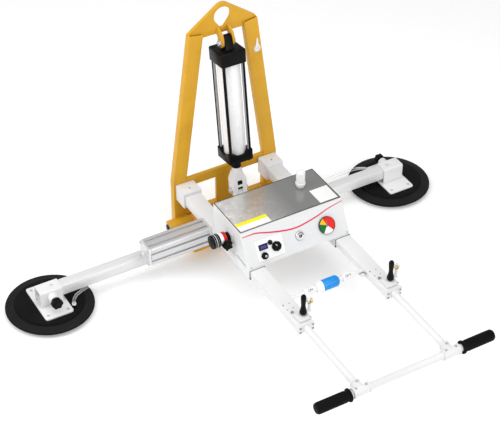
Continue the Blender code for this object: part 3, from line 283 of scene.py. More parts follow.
STEEL = brushed("zinc_steel", (0.60, 0.60, 0.60), (0.48, 0.48, 0.49), 0.25, 0.40, (80.0, 80.0, 20.0), 0.8)
BRASS = brushed("brass", (0.78, 0.56, 0.20), (0.66, 0.45, 0.14), 0.22, 0.35, (90.0, 90.0, 30.0), 0.8)
BLACK = moulded("black_plastic", (0.0010, 0.0010, 0.0011), (0.0026, 0.0026, 0.0030), 0.35, 0.5, 500.0, 0.15,
                0.0, 0.13)
ANODISED = moulded("black_anodised", (0.0016, 0.0016, 0.002), (0.0040, 0.0040, 0.0044), 0.3, 0.42, 700.0,
                   0.08, 0.0, 0.12)
RUBBER = moulded("pad_rubber", (0.0026, 0.0026, 0.0028), (0.0050, 0.0050, 0.0054), 0.55, 0.66, 350.0, 0.2,
                 0.0, 0.12)
# Paler rubber: the clamp caps' colour, and painted light on the pads' outer slopes
PALE_RUBBER_AND_PAINTED_LIGHT = moulded("pale_rubber_and_painted_light", (0.0085, 0.0085, 0.0088), (0.0130, 0.0130, 0.0135), 0.55, 0.66, 350.0,
                0.2, 0.0, 0.14)
FOAM = moulded("grip_foam", (0.0022, 0.0022, 0.0025), (0.0045, 0.0045, 0.0048), 0.6, 0.8, 420.0, 0.5, 0.0,
               0.12)
WHITE = moulded("white_plastic", (0.88, 0.88, 0.87), (0.82, 0.82, 0.81), 0.3, 0.4, 400.0, 0.05, 0.2, 0.5)
PANEL_WHITE = moulded("panel_white", (0.99, 0.99, 0.99), (0.97, 0.97, 0.97), 0.3, 0.4, 400.0, 0.02, 0.1, 0.5)
BLUE = moulded("blue_grip", (0.001, 0.27, 0.74), (0.001, 0.24, 0.66), 0.16, 0.24, 500.0, 0.05, 0.0, 0.4)
RED = moulded("red_plastic", (0.62, 0.012, 0.015), (0.5, 0.01, 0.012), 0.3, 0.4)
GREEN = moulded("green_enamel", (0.006, 0.17, 0.035), (0.005, 0.14, 0.03), 0.35, 0.45, 500.0, 0.02)
SIGNAL = moulded("yellow_enamel", (0.90, 0.80, 0.01), (0.85, 0.74, 0.01), 0.35, 0.45, 500.0, 0.02)
AMBER_DIAL = moulded("amber_enamel", (0.90, 0.55, 0.02), (0.85, 0.50, 0.02), 0.35, 0.45, 500.0, 0.02)
CARMINE = moulded("red_enamel", (0.80, 0.020, 0.015), (0.74, 0.018, 0.014), 0.35, 0.45, 500.0, 0.02)
STRIPE = moulded("rose_red_film", (0.72, 0.05, 0.09), (0.66, 0.045, 0.08), 0.35, 0.45, 500.0, 0.02)
NAVY = moulded("navy_screen", (0.010, 0.008, 0.10), (0.014, 0.010, 0.13), 0.12, 0.18, 500.0, 0.01)
GREY_PRINT_AND_REFLECTION = moulded("grey_print_and_reflection", (0.22, 0.22, 0.24), (0.30, 0.30, 0.32), 0.4, 0.5)
DARK_SEAM_AND_REFLECTION = moulded("dark_seam_and_reflection", (0.030, 0.028, 0.024), (0.045, 0.042, 0.038), 0.4, 0.55)


def lid_painted_reflection():
    """Polished lid steel with its reflection painted into the colour: grey all over, paler and clouded
    towards its left end.
    """
    f = Finish("polished_steel_painted_reflection", 0.16, 0.55)
    coord = f.tree.nodes.new("ShaderNodeTexCoord")
    along = f.tree.nodes.new("ShaderNodeSeparateXYZ")
    f.tree.links.new(coord.outputs["Object"], along.inputs["Vector"])
    pale = f.ramp(along.outputs["X"], 1.0, 0.0, None, MACHINE.x - 0.20, MACHINE.x + 0.03)
    reflection_clouds = f.group(WEAR_AND_REFLECTION, Scale=55.0, Amount=1.0)
    lift = f.tree.nodes.new("ShaderNodeMath")
    lift.operation = "MULTIPLY_ADD"
    lift.inputs[1].default_value = 0.45
    lift.inputs[2].default_value = 0.65
    f.tree.links.new(reflection_clouds.outputs["Mask"], lift.inputs[0])
    both = f.tree.nodes.new("ShaderNodeMath")
    both.operation = "MULTIPLY"
    f.tree.links.new(pale, both.inputs[0])
    f.tree.links.new(lift.outputs["Value"], both.inputs[1])
    # Painted reflection: the colour runs from dark grey at the right to pale clouded grey at the left end
    f.ramp(both.outputs["Value"], (0.29, 0.29, 0.285), (0.95, 0.94, 0.92), "Base Color", 0.0, 1.0)
    f.ramp(both.outputs["Value"], 0.14, 0.30, "Roughness", 0.0, 1.0)
    lines = f.group(LINES, Stretch=(1.5, 160.0, 160.0), Scale=3.0)
    f.bump(lines.outputs["Height"], 0.04, 0.0002)
    return f.mat


def glowing(name, base, colour, strength):
    """A lit display element or lamp."""
    f = Finish(name, 0.2)
    f.shader.inputs["Base Color"].default_value = (*base, 1.0)
    f.shader.inputs["Emission Color"].default_value = (*colour, 1.0)
    f.shader.inputs["Emission Strength"].default_value = strength
    return f.mat


def clear_hose():
    """Clear tube: see-through in the middle, pale and bright towards its rims."""
    f = Finish("clear_hose", 0.12, 0.0, 0.3)
    wear = f.group(WEAR_AND_REFLECTION, Scale=25.0, Amount=1.0)
    f.ramp(wear.outputs["Mask"], (0.88, 0.89, 0.90), (0.80, 0.82, 0.84), "Base Color", 0.0, 1.0)
    rim = f.tree.nodes.new("ShaderNodeLayerWeight")
    rim.inputs["Blend"].default_value = 0.45
    f.ramp(rim.outputs["Facing"], 0.08, 1.0, "Alpha", 0.30, 0.80)
    return f.mat


LID = lid_painted_reflection()
SCREEN = glowing("violet_segments", (0.05, 0.04, 0.25), (0.16, 0.13, 0.62), 0.4)
LED = glowing("red_led", (0.6, 0.02, 0.03), (0.8, 0.05, 0.06), 0.6)
HOSE = clear_hose()

floor_finish = Finish("pale_floor", 0.85, Emission_Color=(1.0, 1.0, 1.0, 1.0), Emission_Strength=0.20)
floor_wear = floor_finish.group(WEAR_AND_REFLECTION, Scale=0.4, Amount=1.0)
floor_finish.ramp(floor_wear.outputs["Mask"], (0.87, 0.87, 0.87), (0.865, 0.865, 0.865), "Base Color", 0.0,
                  1.0)
floor_mesh.materials.append(floor_finish.mat)


# Piece making
SHADING_ANGLE = math.radians(35)


def close(name, bm, body, mat, replaces=(), bevel=0.0, segments=2, place=None):
    """Turns a bmesh into a finished piece that rides on a body."""
    if place is not None:
        bm.transform(place)
    bmesh.ops.recalc_face_normals(bm, faces=bm.faces)
    if all(len(e.link_faces) == 2 for e in bm.edges) and bm.calc_volume(signed=True) < 0:
        bmesh.ops.reverse_faces(bm, faces=bm.faces)
    if bevel:
        sharp = [e for e in bm.edges if len(e.link_faces) == 2 and e.calc_face_angle(0.0) > math.radians(30)]
        bmesh.ops.bevel(bm, geom=sharp, offset=bevel, offset_type="OFFSET", segments=segments, profile=0.5,
                        affect="EDGES", material=-1, clamp_overlap=True)
    mesh = bpy.data.meshes.new(name)
    bm.to_mesh(mesh)
    bm.free()
    mesh.shade_smooth()
    mesh.set_sharp_from_angle(angle=SHADING_ANGLE)
    piece = bpy.data.objects.new(name, mesh)
    bpy.context.scene.collection.objects.link(piece)
    mesh.materials.append(mat)
    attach(piece, body)
    if replaces:
        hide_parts(*replaces)
    return piece


def body_of(node):
    for body, nodes in frame["record"]["behaviour"]["bodies"].items():
        if node in nodes:
            return body
    raise ValueError(node)


def dress(node, mat, bevel=0.0, segments=2):
    """A merged copy of a CAD node with softened edges and its finish."""
    bm = bmesh.new()
    bm.from_mesh(frame["nodes"][node].data)
    bmesh.ops.remove_doubles(bm, verts=bm.verts, dist=2e-6)
    bmesh.ops.dissolve_limit(bm, angle_limit=math.radians(0.6), verts=bm.verts, edges=bm.edges)
    return close(node + "_finished", bm, body_of(node), mat, (node,), bevel, segments)


def turned(profile, steps=32):
    """Spins a (radius, height) outline round Z; an outline that starts and ends on the axis closes there."""
    bm = bmesh.new()
    closed = profile[0][0] > 1e-9 or profile[-1][0] > 1e-9
    verts = [bm.verts.new((r, 0.0, h)) for r, h in profile]
    edges = [bm.edges.new(pair) for pair in zip(verts, verts[1:])]
    if closed:
        edges.append(bm.edges.new((verts[-1], verts[0])))
    bmesh.ops.spin(bm, geom=verts + edges, axis=(0, 0, 1), cent=(0, 0, 0), angle=2 * math.pi, steps=steps,
                   use_merge=True)
    bmesh.ops.remove_doubles(bm, verts=bm.verts, dist=1e-6)
    return bm


def disc_outline(radius, count):
    """Corners of a regular polygon."""
    angles = [2 * math.pi * i / count for i in range(count)]
    return [(radius * math.cos(a), radius * math.sin(a)) for a in angles]


def slab(outline, z0, z1, bevel=0.0, segments=2):
    """An outline drawn flat, extruded upwards and softened."""
    bm = bmesh.new()
    verts = [bm.verts.new((x, y, z0)) for x, y in outline]
    face = bm.faces.new(verts)
    grown = bmesh.ops.extrude_face_region(bm, geom=[face])
    bmesh.ops.translate(bm, vec=(0, 0, z1 - z0), verts=[g for g in grown["geom"]
                            if isinstance(g, bmesh.types.BMVert)])
    bmesh.ops.recalc_face_normals(bm, faces=bm.faces)
    if bevel:
        sharp = [e for e in bm.edges if e.calc_face_angle(0.0) > math.radians(50)]
        bmesh.ops.bevel(bm, geom=sharp, offset=bevel, offset_type="OFFSET", segments=segments, profile=0.5,
                        affect="EDGES", material=-1, clamp_overlap=True)
    return bm


def rounded_rectangle(x0, x1, y0, y1, r, n=5):
    """Outline with corners of n points each."""
    points = []
    for cx, cy, a in ((x1 - r, y1 - r, 0), (x0 + r, y1 - r, 1), (x0 + r, y0 + r, 2), (x1 - r, y0 + r, 3)):
        for i in range(n):
            t = (a + i / (n - 1)) * math.pi / 2
            points.append((cx + r * math.cos(t), cy + r * math.sin(t)))
    return points


def facing(origin, direction):
    """Places local +Z along a direction at a point."""
    return Matrix.Translation(origin) @ Vector(direction).to_track_quat("Z", "Y").to_matrix().to_4x4()


def socket_screw(name, origin, direction, radius, height, body="frame", mat=STEEL):
    """Cap screw head with a round socket and a washer rim."""
    bm = turned([(0, -0.0004), (radius * 1.35, -0.0004), (radius * 1.35, 0.0004), (radius, 0.0005),
                    (radius, height * 0.85), (radius * 0.88, height), (radius * 0.55, height),
                    (radius * 0.50, height * 0.45), (0, height * 0.42)], 18)
    close(name, bm, body, mat, place=facing(origin, direction))


def pan_screw(name, origin, direction, radius, body="frame", mat=STEEL):
    """Low domed head with a conical recess in its middle."""
    angles = [i * math.pi / 2 / 6 for i in range(6)]
    dome = [(radius * math.cos(a), 0.45 * radius * math.sin(a)) for a in angles]
    bm = turned([(0, -0.0003), (radius, -0.0003)] + dome + [(0.16 * radius, 0.44 * radius),
                    (0, 0.20 * radius)], 20)
    close(name, bm, body, mat, place=facing(origin, direction))


def catmull(points, per):
    """A smooth line through the points."""
    ends = [2 * points[0] - points[1]] + list(points) + [2 * points[-1] - points[-2]]
    out = []
    for i in range(1, len(ends) - 2):
        a, b, c, d = ends[i - 1], ends[i], ends[i + 1], ends[i + 2]
        for k in range(per):
            t = k / per
            bend = 2 * a - 5 * b + 4 * c - d
            twist = 3 * b - a - 3 * c + d
            out.append(0.5 * (2 * b + (c - a) * t + bend * t * t + twist * t ** 3))
    out.append(points[-1])
    return out


# Places on the machine: sloped front, cylinder axis, the two pads
FRONT = here(0, -0.277, 0.284) @ Matrix.Rotation(math.pi / 2 - math.atan2(0.062, 0.1137), 4, "X")
TOP_PIN_Y = 0.1566
TOP_PIN_Z = 0.722
CYLINDER = here(0, TOP_PIN_Y, TOP_PIN_Z) @ Matrix.Rotation(math.radians(-7.41), 4, "X")
PAD = {"left": here(-0.770, 0, 0),
       "right": here(0.590, 0, 0) @ Matrix.Rotation(math.pi, 4, "Z")}
ALONG_X = Matrix.Rotation(math.pi / 2, 4, "Y")
TURN_BACK = Matrix.Rotation(math.pi / 2, 4, "X")
UPSIDE_DOWN = Matrix.Rotation(math.pi, 4, "X")
WELD_RIPPLE = 0.0045
BEAM_X = 0.1657
HANDLE_Y = -0.965
HANDLE_Z = 0.155
FORK_PIN = -0.572
LID_Z = 0.2840
FIELD_Z = 0.2846
KEY = (0.012, 0.076)
GAUGE = (0.117, 0.0735)
DISPLAY = (-0.128, 0.068)
KNOB_SEAT = 0.0024
SLIDE_Y = -0.508
SLIDE_Z = 0.158
SIDES = (("left", -1), ("right", 1))


def on_front(x, s, h=0.0, roll=0.0):
    """A place on the sloped front: x, distance down the slope, height above it."""
    return FRONT @ Matrix.Translation((x, -s, h)) @ Matrix.Rotation(roll, 4, "Z")


def joined(*parts):
    """Several bmeshes in one."""
    whole = bmesh.new()
    for part in parts:
        mesh = bpy.data.meshes.new("part")
        part.to_mesh(mesh)
        part.free()
        whole.from_mesh(mesh)
        bpy.data.meshes.remove(mesh)
    return whole


def moved(bm, matrix):
    """The bmesh itself after a move."""
    bm.transform(matrix)
    return bm


def ring(outer, inner, z0, z1, steps=40, edge=0.0):
    """A flat ring with softened upper edges."""
    e = edge
    return turned([(inner, z0), (outer, z0), (outer, z1 - e), (outer - e, z1), (inner + e, z1),
                      (inner, z1 - e)], steps)


def weld(name, start, end, radius, body, mat=WELD):
    """A rippled weld bead along a straight seam."""
    count = max(4, int((end - start).length / WELD_RIPPLE))
    tangent = (end - start).normalized()
    turn = tangent.to_track_quat("Z", "Y").to_matrix().to_4x4()
    bm = bmesh.new()
    rings = []
    for i in range(count + 1):
        ripple = radius * (1.0 + 0.14 * math.sin(i * 2.1))
        place = Matrix.Translation(start.lerp(end, i / count)) @ turn
        rings.append(bmesh.ops.create_circle(bm, segments=6, radius=ripple, matrix=place)["verts"])
    for pair in zip(rings, rings[1:]):
        edges = [e for verts in pair for e in {e for v in verts for e in v.link_edges
                     if all(w in verts for w in e.verts)}]
        bmesh.ops.bridge_loops(bm, edges=edges)
    for verts in (rings[0], rings[-1]):
        bm.faces.new(verts)
    close(name, bm, body, mat)


def hex_nut(radius, height, bore=0.0):
    """A hexagon with, where it has a bore, a stud end that stands out of it."""
    bm = slab(disc_outline(radius, 6), 0.0, height, radius * 0.08, 1)
    if bore:
        low, rim, top = height - 0.0004, height + 0.0015, height + 0.003
        bm = joined(bm, turned([(bore, low), (bore, rim), (bore * 0.7, top), (0, top), (0, low)], 14))
    return bm


# Bail: rounded tube legs, eye plate, cross frame, with their welds
BAIL_WELDS = (("crossbar_weld_", (0.1566, 0.1735, 0.160), (0.1566, 0.1735, 0.189), 0.0022),
              ("foot_weld_", (0.1566, 0.1735, 0.003), (0.1566, 0.1735, 0.043), 0.0022),
              ("post_weld_", (0.0362, 0.1745, 0.047), (0.0362, 0.1745, 0.157), 0.0018),
              ("plate_weld_front_", (0.0795, 0.1822, 0.7620), (0.1265, 0.1822, 0.7695), 0.0020),
              ("plate_weld_back_", (0.0795, 0.1938, 0.7620), (0.1265, 0.1938, 0.7695), 0.0020))
for side, sign in SIDES:
    dress("leg_" + side, YELLOW, 0.0026, 3)
dress("eye_plate", YELLOW, 0.0011, 3)
dress("cross_frame", YELLOW, 0.0016, 3)
for side, sign in SIDES:
    for name, (x0, y0, z0), (x1, y1, z1), radius in BAIL_WELDS:
        weld(name + side, at(sign * x0, y0, z0), at(sign * x1, y1, z1), radius, "bail")
    for inner, x in enumerate((0.0242, 0.0158)):
        weld("ear_weld_%s_%d" % (side, inner), at(sign * x, 0.1818, 0.750), at(sign * x, 0.1818, 0.768),
             0.0016, "bail")
dress("top_pin", STEEL, 0.0006)
for side, sign in SIDES:
    close("pin_washer_" + side, ring(0.0125, 0.0072, 0.0, 0.0016, 28, 0.0004), "bail", STEEL,
          place=facing(at(sign * 0.0245, TOP_PIN_Y, TOP_PIN_Z), (sign, 0, 0)))
close("pin_clip", joined(ring(0.0092, 0.0072, 0.0, 0.0012, 24, 0.0003),
          slab(rounded_rectangle(-0.0012, 0.0012, 0.006, 0.013, 0.0006, 3), 0.0, 0.0012, 0.0003, 1)), "bail",
      STEEL, place=facing(at(0.0285, TOP_PIN_Y, TOP_PIN_Z), (1, 0, 0)))

# White hose clip on the right leg's front: a round eye with a tapered tail above it
CLIP = facing(at(0.1265, 0.1728, 0.6470), (0, -1, 0))
clip_tail = [(0.0062, 0.0105), (0.0050, 0.0210), (0.0022, 0.0400), (-0.0022, 0.0400), (-0.0050, 0.0210),
             (-0.0062, 0.0105)]
clip_eye = ring(0.0130, 0.0050, 0.0, 0.0040, 40, 0.0010)
close("hose_clip", joined(clip_eye, slab(clip_tail, 0.0, 0.0026, 0.0006, 1)), "bail", WHITE,
      place=CLIP)
close("hose_clip_line", ring(0.0104, 0.0098, 0.0038, 0.0042, 36), "bail", GREY_PRINT_AND_REFLECTION,
      place=CLIP)
pan_screw("hose_clip_screw", CLIP @ Vector((0, 0, 0.0008)), (0, -1, 0), 0.0046, "bail", mat=WHITE)

# Hinge: pin with its retaining rings, tilt plate and cylinder lug with their welds
dress("hinge_pin", ANODISED, 0.0008)
dress("tilt_plate", YELLOW, 0.0014, 3)
dress("cylinder_lug", SILVER, 0.0012, 3)
for side, sign in SIDES:
    close("hinge_ring_" + side, ring(0.0168, 0.0122, 0.0, 0.0018, 32, 0.0004), "frame", STEEL,
          place=facing(at(sign * 0.2443, 0.152, 0.0225), (sign, 0, 0)))
    weld("knuckle_weld_" + side, at(sign * 0.1010, 0.1035, 0.0470), at(sign * 0.1550, 0.1035, 0.0470),
         0.0018, "frame")
    weld("lug_weld_" + side, at(sign * 0.0082, 0.028, 0.0480), at(sign * 0.0082, 0.099, 0.0480), 0.0018,
         "frame", SILVER_WELD)

# Tilt cylinder: cap, barrel, head, tie rods with nuts, ports
BROADER = CYLINDER @ Matrix.Diagonal((1.055, 1.055, 1.0, 1.0)) @ CYLINDER.inverted()
dress("cylinder_cap", ANODISED, 0.0012, 3).data.transform(BROADER)
dress("cylinder_barrel", BARREL, 0.0004)
dress("cylinder_head", ANODISED, 0.0008).data.transform(BROADER)
close("rod_gland", turned([(0.0128, -0.4440), (0.0172, -0.4440), (0.0172, -0.4815), (0.0164, -0.4823),
              (0.0128, -0.4823)], 32), "cylinder", ANODISED, place=CYLINDER)
dress("piston_rod", CHROME, 0.0004)
for i, (sx, sy) in enumerate(((-1, -1), (1, -1), (-1, 1), (1, 1))):
    close("tie_rod_%d" % i, turned([(0.0042, -0.4062), (0.0054, -0.4055), (0.0054, -0.0730),
                  (0.0042, -0.0724)], 16), "cylinder", DARK_STEEL, place=CYLINDER
          @ Matrix.Translation((sx * 0.0355, sy * 0.0355, 0)))
    close("tie_socket_%d" % i, turned([(0, 0.0002), (0.0030, 0.0002), (0.0034, 0.0010), (0.0060, 0.0010),
                  (0.0066, 0.0004), (0.0066, -0.0006), (0, -0.0006)], 20), "cylinder",
          ANODISED, place=CYLINDER @ Matrix.Translation((sx * 0.0340, sy * 0.0340, -0.0220)))
    close("head_nut_%d" % i, hex_nut(0.0078, 0.0050, 0.0042), "cylinder", ANODISED,
          place=CYLINDER @ Matrix.Translation((sx * 0.0330, sy * 0.0330, -0.4450)) @ UPSIDE_DOWN)
for name, z in (("cap_port", -0.047), ("head_port", -0.428)):
    close(name, turned([(0, 0), (0.0085, 0), (0.0085, 0.003), (0.0070, 0.004), (0.0070, 0.010),
                  (0.0048, 0.012), (0.0030, 0.012), (0.0030, 0.004), (0, 0.004)], 20), "cylinder",
          ANODISED, place=CYLINDER
          @ facing(Vector((0.0472 if z > -0.1 else 0.0462, 0.012, z)), (1, 0, 0)))

# Fork: silver clevis with its neck, bolt heads, and black slabs that paint the shade in its slot as two dark
# windows above the pin
dress("fork", SILVER, 0.0012, 3)
close("fork_neck", turned([(0.0120, -0.4828), (0.0150, -0.4828), (0.0156, -0.4836), (0.0160, -0.4890),
              (0.0205, -0.5008), (0.0205, -0.5016), (0.0120, -0.5016)], 36), "rod", SILVER,
      place=CYLINDER)
for side, sign in SIDES:
    close("fork_bolt_" + side, joined(ring(0.0125, 0.002, 0.0, 0.0014, 24, 0.0004),
              moved(hex_nut(0.0102, 0.0066), up(0.0012))), "rod", STEEL, place=CYLINDER
          @ facing(Vector((sign * 0.0270, 0, FORK_PIN)), (sign, 0, 0)))
FORK_FRONT = CYLINDER @ TURN_BACK
# The painted-shade windows end in front of the lug's round tip, whose radius is 12 mm
PAINTED_SHADE_BACK = 0.0130
# Black web and windows: painted shade in the fork's slot
close("fork_web_painted_shade", slab(rounded_rectangle(-0.0085, 0.0085, -0.5440, -0.5328, 0.0004, 2), -0.0180, 0.0070),
      "rod", BLACK, place=FORK_FRONT)
close("fork_bridge", slab(rounded_rectangle(-0.0100, 0.0100, -0.5590, -0.5488, 0.0010, 3), 0.0060, 0.0187,
          0.0006, 1), "rod", SILVER, place=FORK_FRONT)
for name, low, high in (("fork_upper_painted_shade", -0.5495, -0.5375), ("fork_lower_painted_shade", -0.5665, -0.5585)):
    close(name, slab(rounded_rectangle(-0.0094, 0.0094, low, high, 0.0008, 3), PAINTED_SHADE_BACK, 0.0182), "rod",
          BLACK, place=FORK_FRONT)

# Frame tubes
for node in ("beam_left", "beam_right", "fore_beam_left", "fore_beam_right"):
    dress(node, SILVER, 0.0010, 3)
dress("arm_sleeve", SILVER, 0.0012, 3)
for side, sign in SIDES:
    dress("stop_block_" + side, SILVER, 0.0010)
    dress("handle_tube_" + side, SILVER, 0.0008)
    cx = sign * BEAM_X
    pan_screw("stop_bolt_" + side, at(cx, 0.1335, 0.1849), (0, 0, 1), 0.0032, mat=GREY_PRINT_AND_REFLECTION)
    for sx in (-1, 1):
        for sz in (-1, 1):
            bolt = at(cx + sx * 0.023, -0.6500, 0.155 + sz * 0.0085)
            socket_screw("flange_bolt_%s_%d%d" % (side, sx, sz), bolt, (0, -1, 0), 0.0034, 0.0042,
                         mat=RUBBER)
        x = cx + sx * 0.0243
        weld("sleeve_weld_%s_%d" % (side, sx), at(x, -0.022, 0.0982), at(x, 0.022, 0.0982), 0.0016, "frame",
             SILVER_WELD)
    # Where the fore beam slides out of the beam: a thin black wear collar
    close("beam_liner_" + side, slab([(-0.0290, 0.1335), (0.0290, 0.1335), (0.0290, 0.1685),
                  (-0.0290, 0.1685)], 0.0, 0.0010, 0.0003, 1), "frame", BLACK,
          place=here(cx, -0.3405, 0) @ TURN_BACK)

# Handle: bar, T joints with their collars and set screws, grooved foam grips
dress("handle_bar", SILVER, 0.0006)
for side, sign in SIDES:
    cx = sign * BEAM_X
    dress("grip_" + side, FOAM, 0.0012, 3)
    for end in (-1, 1):
        close("tee_collar_%s_%d" % (side, end), ring(0.0182, 0.0125, -0.0030, 0.0030, 32, 0.0008), "frame",
              SILVER, place=here(cx + end * 0.0275, HANDLE_Y, HANDLE_Z) @ ALONG_X)
        socket_screw("tee_screw_%s_%d" % (side, end), at(cx + end * 0.0185, HANDLE_Y, 0.1713), (0, 0, 1),
                     0.0030, 0.0020)
    close("branch_collar_" + side, ring(0.0178, 0.0120, -0.0030, 0.0030, 32, 0.0008), "frame",
          SILVER, place=facing(at(cx, -0.9310, 0.155), (0, 1, 0)))
    socket_screw("branch_screw_" + side, at(cx, -0.9405, 0.1708), (0, 0, 1), 0.0030, 0.0020)
    for i in range(9):
        close("grip_groove_%s_%d" % (side, i), ring(0.0194, 0.0175, -0.0012, 0.0012, 28, 0.0006), "frame",
              FOAM, place=here(sign * (0.2270 + 0.0105 * i), HANDLE_Y, HANDLE_Z) @ ALONG_X)

# Vacuum tank, whose left cap ends nearer to the outside than the solid's
TANK_SEAM = at(-0.4042, 0, 0).x
SEAM_SHIFT = 0.0215
for node, mat, soft, rows in (("tank_profile", EXTRUSION, 0.0002, 1), ("tank_cap_left", MACHINED, 0.0008, 2)):
    piece = dress(node, mat, soft, rows)
    for vertex in piece.data.vertices:
        if abs(vertex.co.x - TANK_SEAM) < 0.004:
            vertex.co.x -= SEAM_SHIFT
dress("tank_cap_right", MACHINED, 0.0008)
for sy in (-1, 1):
    for sz in (-1, 1):
        pan_screw("tank_screw_%d%d" % (sy, sz), at(-0.4366, -0.049 + sy * 0.0275, 0.1338 + sz * 0.0275),
                  (-1, 0, 0), 0.0056)
close("tank_port", turned([(0, 0), (0.0080, 0), (0.0080, 0.004), (0.0060, 0.005), (0.0060, 0.012),
              (0.0042, 0.013), (0.0025, 0.013), (0.0025, 0.004), (0, 0.004)], 20), "frame",
      MACHINED, place=facing(at(-0.4342, -0.049, 0.1338), (-1, 0, 0)))

# Control box: sheet shell, polished lid with its reflection painted on, a dark border round it that paints
# its edges' reflection, and three plain fields of colour
dress("control_box", SHEET, 0.0)
# The first plate is a dark border that paints the reflection of the lid's rounded edges; the second carries
# the lid's painted reflection
LID_PLATES = (("lid_edge_painted_reflection", -0.1935, 0.1935, -0.2762, -0.0935, LID_Z, 0.0003, 0.0, "steel", DARK_SEAM_AND_REFLECTION),
              ("lid", -0.1905, 0.1905, -0.2730, -0.0965, LID_Z, 0.0006, 0.0002, "steel", LID),
              ("field_yellow_band", -0.188, -0.072, -0.2450, -0.2290, FIELD_Z, 0.0003, 0.0, "white_plastic",
               SIGNAL),
              ("field_white", -0.188, -0.072, -0.2705, -0.2450, FIELD_Z, 0.0003, 0.0, "white_plastic", WHITE),
              ("field_right", 0.118, 0.186, -0.2700, -0.1970, FIELD_Z, 0.0003, 0.0, "white_plastic", WHITE))
for name, x0, x1, y0, y1, z, thickness, soft, slot, mat in LID_PLATES:
    close(name, slab([(x0, y0), (x1, y0), (x1, y1), (x0, y1)], 0.0, thickness, soft, 1), "frame", mat,
          place=here(0, 0, z))
LEFT_WALL = Matrix.Rotation(-math.pi / 2, 4, "Y") @ Matrix.Rotation(math.pi / 2, 4, "Z")
FOOT_SLOT_LEAN = Matrix.Rotation(-0.11, 4, "Z")
close("foot_slot", slab([(-0.0300, -0.0010), (0.0300, -0.0010), (0.0300, 0.0010), (-0.0300, 0.0010)], 0,
          0.0003), "frame", DARK_SEAM_AND_REFLECTION, place=here(-0.1950, -0.284, 0.1755) @ LEFT_WALL @ FOOT_SLOT_LEAN)


def stripe(name, route, widest, mat):
    """A ribbon on the sloped front that is widest in the middle and runs out to points."""
    line = catmull([Vector((x, -s, 0)) for x, s in route], 10)
    upper, lower = [], []
    for i, p in enumerate(line):
        t = (line[min(i + 1, len(line) - 1)] - line[max(i - 1, 0)]).normalized()
        along = min(max(i / (len(line) - 1), 0.03), 0.97)
        half = 0.0010 + (widest - 0.0010) * math.sin(math.pi * along) ** 0.6
        upper.append((p.x - t.y * half, p.y + t.x * half))
        lower.append((p.x + t.y * half, p.y - t.x * half))
    close(name, slab(upper + lower[::-1], 0.0, 0.0002), "frame", mat, place=FRONT)


stripe("red_curve", [(-0.192, 0.0160), (-0.165, 0.0158), (-0.138, 0.0172), (-0.092, 0.0295),
           (-0.050, 0.0390), (-0.008, 0.0452), (0.034, 0.0435), (0.094, 0.0325), (0.135, 0.0215),
           (0.1935, 0.0118)], 0.0027, STRIPE)
for i, x in enumerate((-0.186, 0.186)):
    pan_screw("front_screw_%d" % i, FRONT @ Vector((x, -0.122, 0.0)), FRONT.to_3x3() @ Vector((0, 0, 1)),
              0.0032)
for x in (-0.15, 0.15):
    for z in (0.185, 0.270):
        pan_screw("back_screw_%d_%d" % (x * 100, z * 1000), at(x, -0.0919, z), (0, 1, 0), 0.0035)

# Panel: display, push button, two knobs
dress("panel", PANEL_WHITE, 0.0004)
close("display_frame", slab(rounded_rectangle(-0.0163, 0.0163, -0.0098, 0.0098, 0.0015, 4), 0.0018, 0.0058,
          0.0006), "frame", BLACK, place=on_front(*DISPLAY))
close("display_window", slab(rounded_rectangle(-0.0146, 0.0146, -0.0080, 0.0080, 0.0008, 3), 0.0055, 0.0062,
          0.0002, 1), "frame", NAVY, place=on_front(*DISPLAY))
for i in range(3):
    x = -0.0065 + i * 0.0065
    bars = []
    for dy in (-0.0036, 0.0, 0.0036):
        across = slab(rounded_rectangle(-0.0020, 0.0020, -0.0004, 0.0004, 0.0002, 2), 0.0, 0.0002)
        bars.append(moved(across, Matrix.Translation((x, dy, 0.0062))))
    for dx in (-0.0020, 0.0020):
        for dy in (-0.0018, 0.0018):
            upright = slab(rounded_rectangle(-0.0004, 0.0004, -0.0016, 0.0016, 0.0002, 2), 0.0, 0.0002)
            bars.append(moved(upright, Matrix.Translation((x + dx, dy, 0.0062))))
    close("display_figure_%d" % i, joined(*bars), "frame", SCREEN, place=on_front(*DISPLAY))
close("panel_led", turned([(0, 0.0022), (0.0016, 0.0022), (0.0016, 0.0030), (0.0010, 0.0036), (0, 0.0038)],
          14), "frame", LED, place=on_front(-0.1465, 0.0510))
dress("push_button", BLACK, 0.0005)
close("button_ring", ring(0.0086, 0.0062, 0.0018, 0.0060, 28, 0.0006), "frame", BLACK,
      place=on_front(-0.1005, 0.061))
for node, body, x, s, r, h, turn in (("big_knob", "mode_knob", -0.081, 0.0805, 0.0172, 0.015, 0.6),
                                     ("small_knob", "trim_knob", -0.130, 0.098, 0.0125, 0.013, 0.0)):
    flutes = []
    for i in range(18):
        a = 2 * math.pi * i / 18
        flute = slab(rounded_rectangle(-0.0007, 0.0007, -0.0008, 0.0008, 0.0003, 2), 0.0088, h * 0.93)
        foot = Matrix.Translation((r * 0.745 * math.cos(a), r * 0.745 * math.sin(a), 0))
        flutes.append(moved(flute, foot @ Matrix.Rotation(a, 4, "Z")))
    dress(node, BLACK, 0.0005)
    close(node + "_flutes", joined(*flutes), body, BLACK, place=on_front(x, s, 0.0020))
    if node == "big_knob":
        # The big knob's white dash is a painted highlight
        close(node + "_painted_highlight", slab(rounded_rectangle(-0.0009, 0.0009, r * 0.25, r * 0.72, 0.0003, 3),
                  h + 0.0001, h + 0.0006), body, WHITE, place=on_front(x, s, KNOB_SEAT,
                  turn))
    else:
        # The small knob's pale ring is a painted reflection on its cap
        close(node + "_cap", ring(r * 0.30, r * 0.14, h - 0.0003, h + 0.0003, 32, 0.0002), body,
              WHITE, place=on_front(x, s, KNOB_SEAT))

